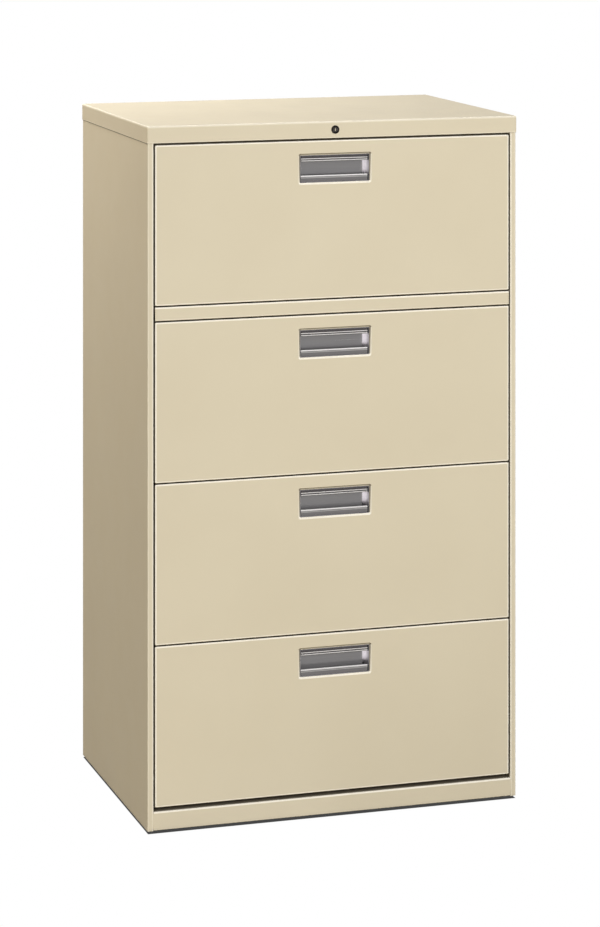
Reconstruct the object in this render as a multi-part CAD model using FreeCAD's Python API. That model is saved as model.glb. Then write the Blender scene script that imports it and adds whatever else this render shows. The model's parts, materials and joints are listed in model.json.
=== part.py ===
import FreeCAD, Part
import math
import os

# A steel lateral filing cabinet with four drawers. Millimetres, X to the right, Y to the back, Z up.
# The front faces -Y. The origin is on the floor, under the middle of the cabinet.

# Overall sizes. The height is what the stack of fronts below adds up to
WIDTH = 762.0
DEPTH = 489.0

# The stack of the front, from the floor up
GLIDE_SHOW = 5.0
RAIL_TOP = 41.0
RAIL_GAP = 8.0
DRAWER_HEIGHT = 307.5
FRONT_GAP = 2.5
FILLER_HEIGHT = 26.5
CAP_GAP = 4.0
CAP_DROP = 33.0
DRAWERS = 4

# Sheet steel and its folds
CASE_SHEET = 0.9
CAP_SHEET = 1.0
DRAWER_SHEET = 0.8
SLIDE_SHEET = 1.2
FOLD = 1.2
CAP_ROUND = 2.5
FRONT_ROUND = 1.8

# Clearances between pieces
CAP_FIT = 0.2
SIDE_GAP = 3.0
EASY = 0.3
TURN_FIT = 0.1

# How far a cut runs past the surface that it goes through, and the smallest length that counts
PAST = 1.0
TINY = 1e-6

# Case
POST_WIDTH = 12.0
POST_RETURN = 20.0
REAR_FLANGE = 15.0
RAIL_RETURN = 25.0
PAN_FLANGE = 24.0
BACK_RIB_WIDTH = 40.0
BACK_RIB_DEPTH = 5.0
BACK_RIB_OFFSET = 190.0
UPRIGHT_WIDTH = 45.0
UPRIGHT_SETBACK = 45.0
REAR_UPRIGHT_SETBACK = 17.0
TOP_RAIL_SETBACK = 35.5
TOP_RAIL_FLANGE = 8.0
FILLER_RETURN = 15.0
FILLER_EAR = 30.0
WEIGHT_SIDE_GAP = 3.0
WEIGHT_WIDTH = 120.0
WEIGHT_THICK = 18.0
WEIGHT_SETBACK = 21.0

# Drawer
FRONT_DEPTH = 27.0
LINER_INSET = 0.4
TRAY_BELOW = 14.0
TRAY_ABOVE = 43.5
TRAY_REAR_ROOM = 17.0
TRAY_FLANGE = 8.0
HANGRAIL_THICK = 2.5
HANGRAIL_DROP = 9.0
HANGRAIL_STAND = 3.0
HANGRAIL_HOOK = 5.0
HANGRAIL_REACH = 312.0

# Telescoping slide, three channels nested in each other
SLIDE_THICK = 12.7
SLIDE_HEIGHT = 45.7
SLIDE_UP = 60.0
SLIDE_INSET = 0.8
SLIDE_END = 5.0
SLIDE_PLAY = 1.0
SLIDE_LIP_FIT = 0.5
BALL_TRACK = 4.0
MIDDLE_TURN_IN = 2.0

# Recessed pull
PULL_WIDTH = 149.0
PULL_HEIGHT = 59.0
PULL_BELOW_TOP = 25.5
PULL_RIM = 4.0
PULL_RIM_WALL = 0.8
PULL_RIM_DEPTH = 1.5
PULL_CORNER = 3.5
PULL_FLOOR = 24.0
PULL_LIP_SETBACK = 3.0
PULL_WALL = 1.6
PULL_TOP_LIP = 12.0
PULL_BOTTOM_LIP = 13.5
PULL_END_GAP = 2.0
PULL_FIT = 0.2
RIB_WIDTH = 2.0
RIB_RISE = 0.6
TOP_RIBS = 3
BOTTOM_RIBS = 4

# Lock: a plug, a crosswise link, a bell crank and an upright bar with a hook for each drawer
LOCK_PROUD = 1.0
LOCK_RING = 8.2
LOCK_BARREL = 7.0
PLUG_RADIUS = 5.4
PLUG_SINK = 0.6
KEY_SLOT_WIDTH = 1.6
KEY_SLOT_HEIGHT = 6.0
KEY_SLOT_DEPTH = 4.0
LOCK_NUT_RADIUS = 10.5
LOCK_NUT_THICK = 3.0
CAM_SETBACK = 26.0
PLATE = 2.5
PLANE_GAP = 0.5
CAM_THROW = 8.0
PIN_RADIUS = 1.6
PIN_PLAY = 0.4
PLATE_EDGE = 3.0
CRANK_ARM = 16.0
CRANK_BOSS = 7.0
PIVOT_RADIUS = 4.0
BAR_X_INSET = 1.4
BAR_WIDTH = 9.0
HOOK_REACH = 11.0
HOOK_HEIGHT = 12.0
HOOK_UP = 190.0
HOOK_PLAY = 1.5
CATCH_REACH = 9.0
CATCH_HEIGHT = 6.0
CATCH_LENGTH = 20.0
KEEPER_HEIGHT = 12.0
KEEPER_WALL = 0.9
KEEPER_UP = 60.0
KEEPER_FROM_CRANK = 60.0
KEEPER_FROM_LOCK = 80.0

# Levelling glides
GLIDE_INSET = 48.0
GLIDE_PAD = 16.0
GLIDE_PAD_HEIGHT = 4.5
GLIDE_BEVEL = 1.5
GLIDE_STEM = 5.0
GLIDE_STEM_LENGTH = 34.0
GLIDE_BRACKET_WIDTH = 44.0
GLIDE_BRACKET_DEPTH = 40.0
GLIDE_BRACKET_DROP = 24.0
GLIDE_BRACKET_SHEET = 2.0
GLIDE_BRACKET_EAR = 6.0
GLIDE_NUT_RADIUS = 9.0
GLIDE_NUT_HEIGHT = 6.0

# Places that follow from the sizes
CAP_LAP = CAP_SHEET + CAP_FIT
CAP_FRONT_Y = -DEPTH / 2 + LOCK_PROUD
FACE_Y = CAP_FRONT_Y + CAP_LAP
CAP_BACK_Y = DEPTH / 2
CASE_BACK_Y = CAP_BACK_Y - CAP_LAP
BACK_PANEL_Y = CASE_BACK_Y - CASE_SHEET
REAR_WALL_Y = BACK_PANEL_Y - CASE_SHEET - BACK_RIB_DEPTH
SIDE_X = WIDTH / 2 - CAP_LAP
SIDE_INNER_X = SIDE_X - CASE_SHEET
POST_X = SIDE_X - POST_WIDTH
FRONT_X = POST_X - SIDE_GAP
SLIDE_X = FRONT_X - SLIDE_INSET
TRAY_X = SLIDE_X - SLIDE_THICK
TRAY_FRONT_Y = FACE_Y + FRONT_DEPTH
TRAY_BACK_Y = REAR_WALL_Y - TRAY_REAR_ROOM
TRAY_DEPTH = TRAY_BACK_Y - TRAY_FRONT_Y
TRAY_HEIGHT = DRAWER_HEIGHT - TRAY_BELOW - TRAY_ABOVE
SLIDE_START_Y = TRAY_FRONT_Y + SLIDE_END
SLIDE_LENGTH = TRAY_DEPTH - 2 * SLIDE_END
MIDDLE_HEIGHT = SLIDE_HEIGHT - 2 * (SLIDE_SHEET + BALL_TRACK)
INNER_HEIGHT = MIDDLE_HEIGHT - 2 * (SLIDE_SHEET + BALL_TRACK)
SLIDE_LIP = SLIDE_SHEET + BALL_TRACK - SLIDE_LIP_FIT
SLIDE_DEPTH = SLIDE_THICK - 3 * SLIDE_SHEET - SLIDE_PLAY
PAN_TOP = RAIL_TOP - CASE_SHEET


def drawer_bottoms():
    """The lower edge of each drawer front, the top drawer first, and of the filler rail."""
    levels = {}
    level = RAIL_TOP + RAIL_GAP
    for number in range(DRAWERS, 0, -1):
        if number == 1:
            levels["filler"] = level
            level += FILLER_HEIGHT + FRONT_GAP
        levels[number] = level
        level += DRAWER_HEIGHT + FRONT_GAP
    levels["cap"] = level - FRONT_GAP + CAP_GAP
    return levels


LEVELS = drawer_bottoms()
CAP_EDGE = LEVELS["cap"]
HEIGHT = CAP_EDGE + CAP_DROP
CASE_TOP = HEIGHT - CAP_SHEET

# Lock train, all of it behind the cap's front edge
LOCK_Z = CAP_EDGE + CAP_DROP / 2
LINK_Y = FACE_Y + CAM_SETBACK + PLATE + PLANE_GAP
CRANK_Y = LINK_Y + PLATE + PLANE_GAP
LINK_TRAVEL = CAM_THROW * math.sqrt(2)
LINK_Z = LOCK_Z + CAM_THROW * (1 + math.sqrt(0.5)) / 2
CRANK_SWING = math.asin(LINK_TRAVEL / 2 / CRANK_ARM)
CRANK_LOW = CRANK_ARM * math.cos(CRANK_SWING)
CRANK_MEAN = (CRANK_ARM + CRANK_LOW) / 2
BAR_X = -(SIDE_INNER_X - BAR_X_INSET - BAR_WIDTH / 2)
CRANK_X = BAR_X + CRANK_MEAN
CRANK_Z = LINK_Z - CRANK_MEAN
SLOT_HALF = PIN_RADIUS + PIN_PLAY

# Drawing planes: the two drawn directions and the direction of the pull
PLAN = (FreeCAD.Vector(1, 0, 0), FreeCAD.Vector(0, 1, 0), FreeCAD.Vector(0, 0, 1))
FRONT = (FreeCAD.Vector(1, 0, 0), FreeCAD.Vector(0, 0, 1), FreeCAD.Vector(0, 1, 0))
SIDE = (FreeCAD.Vector(0, 1, 0), FreeCAD.Vector(0, 0, 1), FreeCAD.Vector(1, 0, 0))


def box(x0, x1, y0, y1, z0, z1):
    return Part.makeBox(x1 - x0, y1 - y0, z1 - z0, FreeCAD.Vector(x0, y0, z0))


def rod(x, z, radius, y0, y1):
    """A round bar along Y."""
    return Part.makeCylinder(radius, y1 - y0, FreeCAD.Vector(x, y0, z), FreeCAD.Vector(0, 1, 0))


def post(x, y, radius, z0, z1):
    """A round bar along Z."""
    return Part.makeCylinder(radius, z1 - z0, FreeCAD.Vector(x, y, z0))


def mirrored(shape):
    """The same piece for the other side of the cabinet."""
    return shape.mirror(FreeCAD.Vector(0, 0, 0), FreeCAD.Vector(1, 0, 0))


def both_sides(shape):
    return Part.makeCompound([shape, mirrored(shape)])


def corner_edges(points, radii, closed):
    """Lines through flat points (u, v), with an arc of the given radius at each corner."""
    spots = [FreeCAD.Vector(u, v, 0) for u, v in points]
    count = len(spots)
    turns = range(count) if closed else range(1, count - 1)
    ins = dict(enumerate(spots))
    outs = dict(enumerate(spots))
    arcs = {}
    for i in turns:
        back = (spots[i - 1] - spots[i]).normalize()
        ahead = (spots[(i + 1) % count] - spots[i]).normalize()
        half = back.getAngle(ahead) / 2
        if not radii[i] or half > math.pi / 2 - TINY:
            continue
        reach = radii[i] / math.tan(half)
        ins[i] = spots[i] + back * reach
        outs[i] = spots[i] + ahead * reach
        inward = (back + ahead).normalize()
        arcs[i] = spots[i] + inward * (radii[i] / math.sin(half) - radii[i])
    pieces = []
    last = count if closed else count - 1
    for i in range(last):
        if i in arcs:
            pieces.append((ins[i], arcs[i], outs[i]))
        end = ins[(i + 1) % count]
        if (end - outs[i]).Length > TINY:
            pieces.append((outs[i], end))
    return pieces


def placed(view, pieces):
    """Turns flat pieces into edges on a drawing plane."""
    edges = []
    for piece in pieces:
        spots = [view[0] * p.x + view[1] * p.y for p in piece]
        if len(spots) == 3:
            edges.append(Part.Arc(*spots).toShape())
        else:
            edges.append(Part.LineSegment(*spots).toShape())
    return edges


def pulled(view, pieces, start, end):
    """A solid between two distances along the pull, from a closed run of flat pieces."""
    face = Part.Face(Part.Wire(placed(view, pieces)))
    face.translate(view[2] * start)
    return face.extrude(view[2] * (end - start))


def outline(view, points, start, end, radius=0.0):
    """A plate with the given corners, all rounded alike."""
    return pulled(view, corner_edges(points, [radius] * len(points), True), start, end)


def rectangle(u0, u1, v0, v1):
    return [(u0, v0), (u1, v0), (u1, v1), (u0, v1)]


def hexagon(u, v, radius):
    """The corners of a nut."""
    angles = [math.pi / 3 * i for i in range(6)]
    return [(u + radius * math.cos(angle), v + radius * math.sin(angle)) for angle in angles]


def folded(view, path, sheet, start, end, left=True, folds=FOLD):
    """Sheet steel folded along a path, to its left or right. Folds are inside radii, None for a sharp one."""
    side = 1 if left else -1
    spots = [FreeCAD.Vector(u, v, 0) for u, v in path]
    ways = [(spots[i + 1] - spots[i]).normalize() for i in range(len(spots) - 1)]
    normals = [FreeCAD.Vector(-w.y, w.x, 0) * (side * sheet) for w in ways]
    other = [spots[0] + normals[0]]
    near = [0.0]
    far = [0.0]
    if not isinstance(folds, list):
        folds = [folds] * (len(spots) - 2)
    for i in range(1, len(ways)):
        both = normals[i - 1] + normals[i]
        share = 1 + normals[i - 1].dot(normals[i]) / sheet ** 2
        other.append(spots[i] + both * (1 / share))
        turn = ways[i - 1].cross(ways[i]).z * side
        inside = folds[i - 1]
        outside = inside
        if inside is not None:
            outside += sheet
        near.append(outside if turn > 0 else inside)
        far.append(inside if turn > 0 else outside)
    other.append(spots[-1] + normals[-1])
    near.append(0.0)
    far.append(0.0)
    first = corner_edges([(p.x, p.y) for p in spots], near, False)
    second = corner_edges([(p.x, p.y) for p in reversed(other)], far[::-1], False)
    pieces = first + [(spots[-1], other[-1])] + second + [(other[0], spots[0])]
    return pulled(view, pieces, start, end)


def pressed_pan(low, high, sheet, radius, open_axis, open_sign):
    """A pan pressed from sheet: a block with rounded outer edges and one side left open (axis 0, 1 or 2)."""
    block = box(low[0], high[0], low[1], high[1], low[2], high[2])
    rim = (high if open_sign > 0 else low)[open_axis]
    kept = []
    for edge in block.Edges:
        if not all(abs(v.Point[open_axis] - rim) < TINY for v in edge.Vertexes):
            kept.append(edge)
    rounded = block.makeFillet(radius, kept)
    inner_low = [value + sheet for value in low]
    inner_high = [value - sheet for value in high]
    if open_sign > 0:
        inner_high[open_axis] = high[open_axis] + PAST
    else:
        inner_low[open_axis] = low[open_axis] - PAST
    inner = box(inner_low[0], inner_high[0], inner_low[1], inner_high[1], inner_low[2], inner_high[2])
    return rounded.cut(inner)


# Case

def right_side_panel():
    """One sheet: the post face beside the drawers, its return, the side and the rear flange."""
    path = [
        (POST_X, FACE_Y + POST_RETURN),
        (POST_X, FACE_Y),
        (SIDE_X, FACE_Y),
        (SIDE_X, CASE_BACK_Y),
        (SIDE_X - REAR_FLANGE, CASE_BACK_Y),
    ]
    return folded(PLAN, path, CASE_SHEET, GLIDE_SHOW, CASE_TOP)


def back_panel():
    """A sheet with two upright stiffening ribs, spot-welded inside the rear flanges."""
    half = SIDE_INNER_X - FOLD
    path = [(-half, BACK_PANEL_Y)]
    for middle in (-BACK_RIB_OFFSET, BACK_RIB_OFFSET):
        path += [
            (middle - BACK_RIB_WIDTH / 2, BACK_PANEL_Y),
            (middle - BACK_RIB_WIDTH / 2 + BACK_RIB_DEPTH, BACK_PANEL_Y - BACK_RIB_DEPTH),
            (middle + BACK_RIB_WIDTH / 2 - BACK_RIB_DEPTH, BACK_PANEL_Y - BACK_RIB_DEPTH),
            (middle + BACK_RIB_WIDTH / 2, BACK_PANEL_Y),
        ]
    path.append((half, BACK_PANEL_Y))
    return folded(PLAN, path, CASE_SHEET, GLIDE_SHOW, CASE_TOP, left=False, folds=None)


def top_cap():
    """A pressed pan over the case, with the hole for the lock in its front edge."""
    low = (-WIDTH / 2, CAP_FRONT_Y, CAP_EDGE)
    high = (WIDTH / 2, CAP_BACK_Y, HEIGHT)
    pan = pressed_pan(low, high, CAP_SHEET, CAP_ROUND, 2, -1)
    return pan.cut(rod(0, LOCK_Z, LOCK_BARREL + TURN_FIT, CAP_FRONT_Y - PAST, FACE_Y + PAST))


def top_rail():
    """The channel behind the cap's front edge, with the stud that the bell crank turns on."""
    back = FACE_Y + TOP_RAIL_SETBACK
    path = [
        (back + TOP_RAIL_FLANGE, CAP_EDGE),
        (back, CAP_EDGE),
        (back, CASE_TOP),
        (back + TOP_RAIL_FLANGE, CASE_TOP),
    ]
    rail = folded(SIDE, path, CASE_SHEET, -SIDE_INNER_X, SIDE_INNER_X, left=False, folds=None)
    stud = rod(CRANK_X, CRANK_Z, PIVOT_RADIUS, CRANK_Y - PLANE_GAP / 2, back + CASE_SHEET / 2)
    return rail.fuse(stud)


def base_rail():
    """The plinth rail under the lowest drawer, flush with the posts."""
    path = [
        (FACE_Y + RAIL_RETURN, RAIL_TOP),
        (FACE_Y, RAIL_TOP),
        (FACE_Y, GLIDE_SHOW),
        (FACE_Y + POST_RETURN, GLIDE_SHOW),
    ]
    return folded(SIDE, path, CASE_SHEET, -POST_X, POST_X)


def base_pan():
    """The cabinet's floor, folded down along its sides and back, under the rail's return."""
    rear = REAR_WALL_Y
    path = [
        (-SIDE_INNER_X, PAN_TOP - PAN_FLANGE),
        (-SIDE_INNER_X, PAN_TOP),
        (SIDE_INNER_X, PAN_TOP),
        (SIDE_INNER_X, PAN_TOP - PAN_FLANGE),
    ]
    floor = folded(FRONT, path, CASE_SHEET, FACE_Y + POST_RETURN + EASY, rear, left=False)
    lip = box(
        -SIDE_INNER_X + PAN_FLANGE, SIDE_INNER_X - PAN_FLANGE,
        rear - CASE_SHEET, rear, PAN_TOP - PAN_FLANGE, PAN_TOP - CASE_SHEET / 2,
    )
    return floor.fuse(lip)


def upright(y0):
    """A channel from floor to cap that the slides hook on, on the right side."""
    path = [
        (SIDE_INNER_X, y0),
        (SLIDE_X, y0),
        (SLIDE_X, y0 + UPRIGHT_WIDTH),
        (SIDE_INNER_X, y0 + UPRIGHT_WIDTH),
    ]
    return folded(PLAN, path, SLIDE_SHEET, PAN_TOP, CASE_TOP, left=False, folds=None)


def front_uprights():
    return both_sides(upright(FACE_Y + UPRIGHT_SETBACK))


def rear_uprights():
    start = REAR_WALL_Y - REAR_UPRIGHT_SETBACK - UPRIGHT_WIDTH
    return both_sides(upright(start))


def filler_rail():
    """The fixed strip between the two upper drawers, with an ear to each front upright."""
    low = LEVELS["filler"]
    path = [
        (FACE_Y + FILLER_RETURN, low + FILLER_HEIGHT),
        (FACE_Y, low + FILLER_HEIGHT),
        (FACE_Y, low),
        (FACE_Y + FILLER_RETURN, low),
    ]
    rail = folded(SIDE, path, CASE_SHEET, -FRONT_X, FRONT_X)
    inner_low = low + CASE_SHEET + EASY
    inner_high = low + FILLER_HEIGHT - CASE_SHEET - EASY
    ear_end = FACE_Y + UPRIGHT_SETBACK + FILLER_EAR
    ear = box(SLIDE_X - CASE_SHEET, SLIDE_X, FACE_Y + CASE_SHEET / 2, ear_end, inner_low, inner_high)
    return rail.fuse([ear, mirrored(ear)])


def counterweight():
    """The steel bar across the back of the floor that keeps an open drawer from tipping it."""
    rear = REAR_WALL_Y - WEIGHT_SETBACK
    bracket_reach = GLIDE_INSET + GLIDE_BRACKET_WIDTH / 2 + GLIDE_BRACKET_EAR
    half = SIDE_INNER_X - bracket_reach - WEIGHT_SIDE_GAP
    return box(-half, half, rear - WEIGHT_WIDTH, rear, PAN_TOP, PAN_TOP + WEIGHT_THICK)


# Levelling glides

def glide_places():
    """The centre of each glide, seen from above."""
    front = FACE_Y + GLIDE_INSET
    rear = REAR_WALL_Y - GLIDE_INSET
    side = SIDE_INNER_X - GLIDE_INSET
    return {
        "front_left": (-side, front),
        "front_right": (side, front),
        "rear_left": (-side, rear),
        "rear_right": (side, rear),
    }


def glide_bracket(x, y):
    """A hat bracket under the floor, with the nut that the glide's stem screws into."""
    half = GLIDE_BRACKET_WIDTH / 2
    under = PAN_TOP - CASE_SHEET
    low = under - GLIDE_BRACKET_DROP
    path = [
        (x - half - GLIDE_BRACKET_EAR, under),
        (x - half, under),
        (x - half, low),
        (x + half, low),
        (x + half, under),
        (x + half + GLIDE_BRACKET_EAR, under),
    ]
    start = y - GLIDE_BRACKET_DEPTH / 2
    hat = folded(FRONT, path, GLIDE_BRACKET_SHEET, start, start + GLIDE_BRACKET_DEPTH, left=False, folds=None)
    nut_corners = hexagon(x, y, GLIDE_NUT_RADIUS)
    nut = outline(PLAN, nut_corners, low - GLIDE_BRACKET_SHEET / 2, low + GLIDE_NUT_HEIGHT)
    hole = post(x, y, GLIDE_STEM + TURN_FIT, low - GLIDE_BRACKET_SHEET - PAST, under)
    return hat.fuse(nut).cut(hole)


def glide_brackets():
    return Part.makeCompound([glide_bracket(x, y) for x, y in glide_places().values()])


def glide(x, y):
    """A foot: a round pad and its stem, turned as one piece."""
    profile = [
        (0, 0),
        (GLIDE_PAD, 0),
        (GLIDE_PAD, GLIDE_PAD_HEIGHT - GLIDE_BEVEL),
        (GLIDE_PAD - GLIDE_BEVEL, GLIDE_PAD_HEIGHT),
        (GLIDE_STEM, GLIDE_PAD_HEIGHT),
        (GLIDE_STEM, GLIDE_STEM_LENGTH + GLIDE_PAD_HEIGHT),
        (0, GLIDE_STEM_LENGTH + GLIDE_PAD_HEIGHT),
    ]
    spots = [FreeCAD.Vector(r, 0, z) for r, z in profile]
    face = Part.Face(Part.makePolygon(spots + spots[:1]))
    foot = face.revolve(FreeCAD.Vector(0, 0, 0), FreeCAD.Vector(0, 0, 1), 360)
    foot.translate(FreeCAD.Vector(x, y, 0))
    return foot


# Slides

def slide_channel(wall_x, width, height, z):
    """One member of the right slide: a web, two flanges and the lips that hold the balls in."""
    tip = wall_x - width
    half = height / 2
    path = [
        (tip, z - half + SLIDE_LIP),
        (tip, z - half),
        (wall_x, z - half),
        (wall_x, z + half),
        (tip, z + half),
        (tip, z + half - SLIDE_LIP),
    ]
    return folded(FRONT, path, SLIDE_SHEET, SLIDE_START_Y, SLIDE_START_Y + SLIDE_LENGTH, folds=None)


def slide_level(number):
    """The height of the middle of a drawer's slides."""
    return LEVELS[number] + TRAY_BELOW + SLIDE_UP


def outer_member(number):
    """The member that is hooked on the uprights."""
    return slide_channel(SLIDE_X, SLIDE_DEPTH, SLIDE_HEIGHT, slide_level(number))


def middle_member(number):
    """The member that travels half as far as the drawer."""
    web = SLIDE_X - SLIDE_SHEET - SLIDE_PLAY
    return slide_channel(web, web - TRAY_X - MIDDLE_TURN_IN, MIDDLE_HEIGHT, slide_level(number))


def inner_member(number):
    """The member on the side of the tray."""
    z = slide_level(number)
    half = INNER_HEIGHT / 2
    path = [
        (TRAY_X + SLIDE_DEPTH, z - half),
        (TRAY_X, z - half),
        (TRAY_X, z + half),
        (TRAY_X + SLIDE_DEPTH, z + half),
    ]
    end = SLIDE_START_Y + SLIDE_LENGTH
    return folded(FRONT, path, SLIDE_SHEET, SLIDE_START_Y, end, left=False, folds=None)


# Drawers

def pull_middle(number):
    """The height of the middle of a drawer's recessed pull."""
    return LEVELS[number] + DRAWER_HEIGHT - PULL_BELOW_TOP - PULL_HEIGHT / 2


def rounded_loop(half_width, half_height, z, y, radius):
    """A rounded rectangle that faces the front."""
    points = rectangle(-half_width, half_width, z - half_height, z + half_height)
    wire = Part.Wire(placed(FRONT, corner_edges(points, [radius] * 4, True)))
    wire.translate(FreeCAD.Vector(0, y, 0))
    return wire


def drawer_front(number):
    """The pan-shaped front, with a ledge pressed in round the opening for the pull."""
    low = LEVELS[number]
    rear = TRAY_FRONT_Y - DRAWER_SHEET
    pan = pressed_pan(
        (-FRONT_X, FACE_Y, low), (FRONT_X, rear, low + DRAWER_HEIGHT),
        DRAWER_SHEET, FRONT_ROUND, 1, 1,
    )
    middle = pull_middle(number)
    half_width = PULL_WIDTH / 2
    half_height = PULL_HEIGHT / 2

    def funnel(y, grown, corner):
        wide = rounded_loop(half_width + grown, half_height + grown, middle, y, corner)
        narrow = rounded_loop(
            half_width - PULL_RIM_WALL + grown, half_height - PULL_RIM_WALL + grown, middle,
            y + PULL_RIM_DEPTH, corner / 2,
        )
        return Part.makeLoft([wide, narrow], True, True)

    opening = outline(
        FRONT,
        rectangle(
            -half_width + PULL_RIM, half_width - PULL_RIM,
            middle - half_height + PULL_RIM, middle + half_height - PULL_RIM,
        ),
        FACE_Y - PAST, FACE_Y + PULL_RIM_DEPTH + DRAWER_SHEET + PAST, PULL_CORNER / 2,
    )
    dent = funnel(FACE_Y + DRAWER_SHEET, DRAWER_SHEET, 0.0)
    return pan.fuse(dent).cut(funnel(FACE_Y, 0.0, PULL_CORNER)).cut(opening)


def front_liner(number):
    """The flat sheet that closes the back of the front."""
    low = LEVELS[number]
    return outline(
        FRONT,
        rectangle(
            -FRONT_X + LINER_INSET, FRONT_X - LINER_INSET,
            low + LINER_INSET, low + DRAWER_HEIGHT - LINER_INSET,
        ),
        TRAY_FRONT_Y - DRAWER_SHEET, TRAY_FRONT_Y,
    )


def pull_pocket(number):
    """The steel box behind the opening, welded to the front's pressed edge."""
    middle = pull_middle(number)
    half_width = PULL_WIDTH / 2 - PULL_RIM
    half_height = PULL_HEIGHT / 2 - PULL_RIM
    start = FACE_Y + PULL_RIM_DEPTH + DRAWER_SHEET
    floor = FACE_Y + PULL_FLOOR
    outer = box(
        -half_width - DRAWER_SHEET, half_width + DRAWER_SHEET, start, floor + DRAWER_SHEET,
        middle - half_height - DRAWER_SHEET, middle + half_height + DRAWER_SHEET,
    )
    inner = box(-half_width, half_width, start - PAST, floor, middle - half_height, middle + half_height)
    return outer.cut(inner)


def ribbed_run(u, v0, v1, count):
    """The front of a lip, from v0 up to v1, with half-round ribs along it."""
    pieces = []
    pitch = (v1 - v0) / count
    here = FreeCAD.Vector(u, v0, 0)
    for i in range(count):
        middle = v0 + pitch * (i + 0.5)
        start = FreeCAD.Vector(u, middle - RIB_WIDTH / 2, 0)
        end = FreeCAD.Vector(u, middle + RIB_WIDTH / 2, 0)
        pieces.append((here, start))
        pieces.append((start, FreeCAD.Vector(u - RIB_RISE, middle, 0), end))
        here = end
    pieces.append((here, FreeCAD.Vector(u, v1, 0)))
    return pieces


def pull(number):
    """The aluminium extrusion in the pocket: a channel with two ribbed lips and the finger slot between."""
    half = PULL_HEIGHT / 2 - PULL_RIM - PULL_FIT
    middle = pull_middle(number)
    low = middle - half
    high = middle + half
    lip = FACE_Y + PULL_LIP_SETBACK
    behind = lip + PULL_WALL
    floor = FACE_Y + PULL_FLOOR
    inside = floor - PULL_WALL

    def line(points):
        spots = [FreeCAD.Vector(u, v, 0) for u, v in points]
        return list(zip(spots[:-1], spots[1:]))

    pieces = ribbed_run(lip, low, low + PULL_BOTTOM_LIP, BOTTOM_RIBS)
    pieces += line([
        (lip, low + PULL_BOTTOM_LIP), (behind, low + PULL_BOTTOM_LIP), (behind, low + PULL_WALL),
        (inside, low + PULL_WALL), (inside, high - PULL_WALL), (behind, high - PULL_WALL),
        (behind, high - PULL_TOP_LIP), (lip, high - PULL_TOP_LIP),
    ])
    pieces += ribbed_run(lip, high - PULL_TOP_LIP, high, TOP_RIBS)
    pieces += line([(lip, high), (floor, high), (floor, low), (lip, low)])
    half_length = PULL_WIDTH / 2 - PULL_RIM - PULL_END_GAP
    return pulled(SIDE, pieces, -half_length, half_length)


def tray(number):
    """Bottom and sides in one sheet with turned-out top edges, and two end walls."""
    low = LEVELS[number] + TRAY_BELOW
    high = low + TRAY_HEIGHT
    path = [
        (-TRAY_X - TRAY_FLANGE, high - DRAWER_SHEET),
        (-TRAY_X, high - DRAWER_SHEET),
        (-TRAY_X, low),
        (TRAY_X, low),
        (TRAY_X, high - DRAWER_SHEET),
        (TRAY_X + TRAY_FLANGE, high - DRAWER_SHEET),
    ]
    folds = [None, FOLD, FOLD, None]
    body = folded(FRONT, path, DRAWER_SHEET, TRAY_FRONT_Y, TRAY_BACK_Y, folds=folds)
    inside = TRAY_X - DRAWER_SHEET / 2
    floor = low + DRAWER_SHEET / 2
    front = box(-inside, inside, TRAY_FRONT_Y, TRAY_FRONT_Y + DRAWER_SHEET, floor, high)
    back = box(-inside, inside, TRAY_BACK_Y - DRAWER_SHEET, TRAY_BACK_Y, floor, high)
    return body.fuse([front, back])


def catch_level(number):
    """The height of the middle of a drawer's catch."""
    return LEVELS[number] + TRAY_BELOW + HOOK_UP


def lock_catch(number):
    """The angle on the tray's left side that the lock bar's hook rises in front of."""
    y = LINK_Y + 2 * PLATE + HOOK_PLAY
    path = [
        (-TRAY_X - CATCH_REACH, y),
        (-TRAY_X, y),
        (-TRAY_X, y + CATCH_LENGTH),
    ]
    low = catch_level(number) - CATCH_HEIGHT / 2
    return folded(PLAN, path, SLIDE_SHEET, low, low + CATCH_HEIGHT, folds=None)


def hangrail(number):
    """The crosswise bar that hanging folders ride on, hooked over the tray's turned-out edges."""
    high = LEVELS[number] + TRAY_BELOW + TRAY_HEIGHT
    reach = TRAY_X + TRAY_FLANGE + EASY
    points = [
        (-reach - HANGRAIL_THICK, high - HANGRAIL_HOOK),
        (-reach, high - HANGRAIL_HOOK),
        (-reach, high),
        (-TRAY_X + DRAWER_SHEET + EASY, high),
        (-TRAY_X + DRAWER_SHEET + EASY, high - HANGRAIL_DROP),
        (TRAY_X - DRAWER_SHEET - EASY, high - HANGRAIL_DROP),
        (TRAY_X - DRAWER_SHEET - EASY, high),
        (reach, high),
        (reach, high - HANGRAIL_HOOK),
        (reach + HANGRAIL_THICK, high - HANGRAIL_HOOK),
        (reach + HANGRAIL_THICK, high + HANGRAIL_STAND),
        (-reach - HANGRAIL_THICK, high + HANGRAIL_STAND),
    ]
    start = TRAY_FRONT_Y + HANGRAIL_REACH
    return outline(FRONT, points, start, start + HANGRAIL_THICK)


# Lock

def lock_housing():
    """The ring that shows on the cap's edge, and the barrel behind it."""
    ring = rod(0, LOCK_Z, LOCK_RING, CAP_FRONT_Y - LOCK_PROUD, CAP_FRONT_Y)
    barrel = rod(0, LOCK_Z, LOCK_BARREL, CAP_FRONT_Y, FACE_Y + CAM_SETBACK - PLANE_GAP)
    bore = rod(0, LOCK_Z, PLUG_RADIUS + TURN_FIT, CAP_FRONT_Y - LOCK_PROUD - PAST, FACE_Y + CAM_SETBACK)
    return ring.fuse(barrel).cut(bore)


def lock_nut():
    """The six-sided nut that draws the housing against the cap's edge."""
    start = CAP_FRONT_Y + CAP_SHEET
    end = start + LOCK_NUT_THICK
    nut = outline(FRONT, hexagon(0, LOCK_Z, LOCK_NUT_RADIUS), start, end)
    return nut.cut(rod(0, LOCK_Z, LOCK_BARREL + TURN_FIT, start - PAST, end + PAST))


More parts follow.
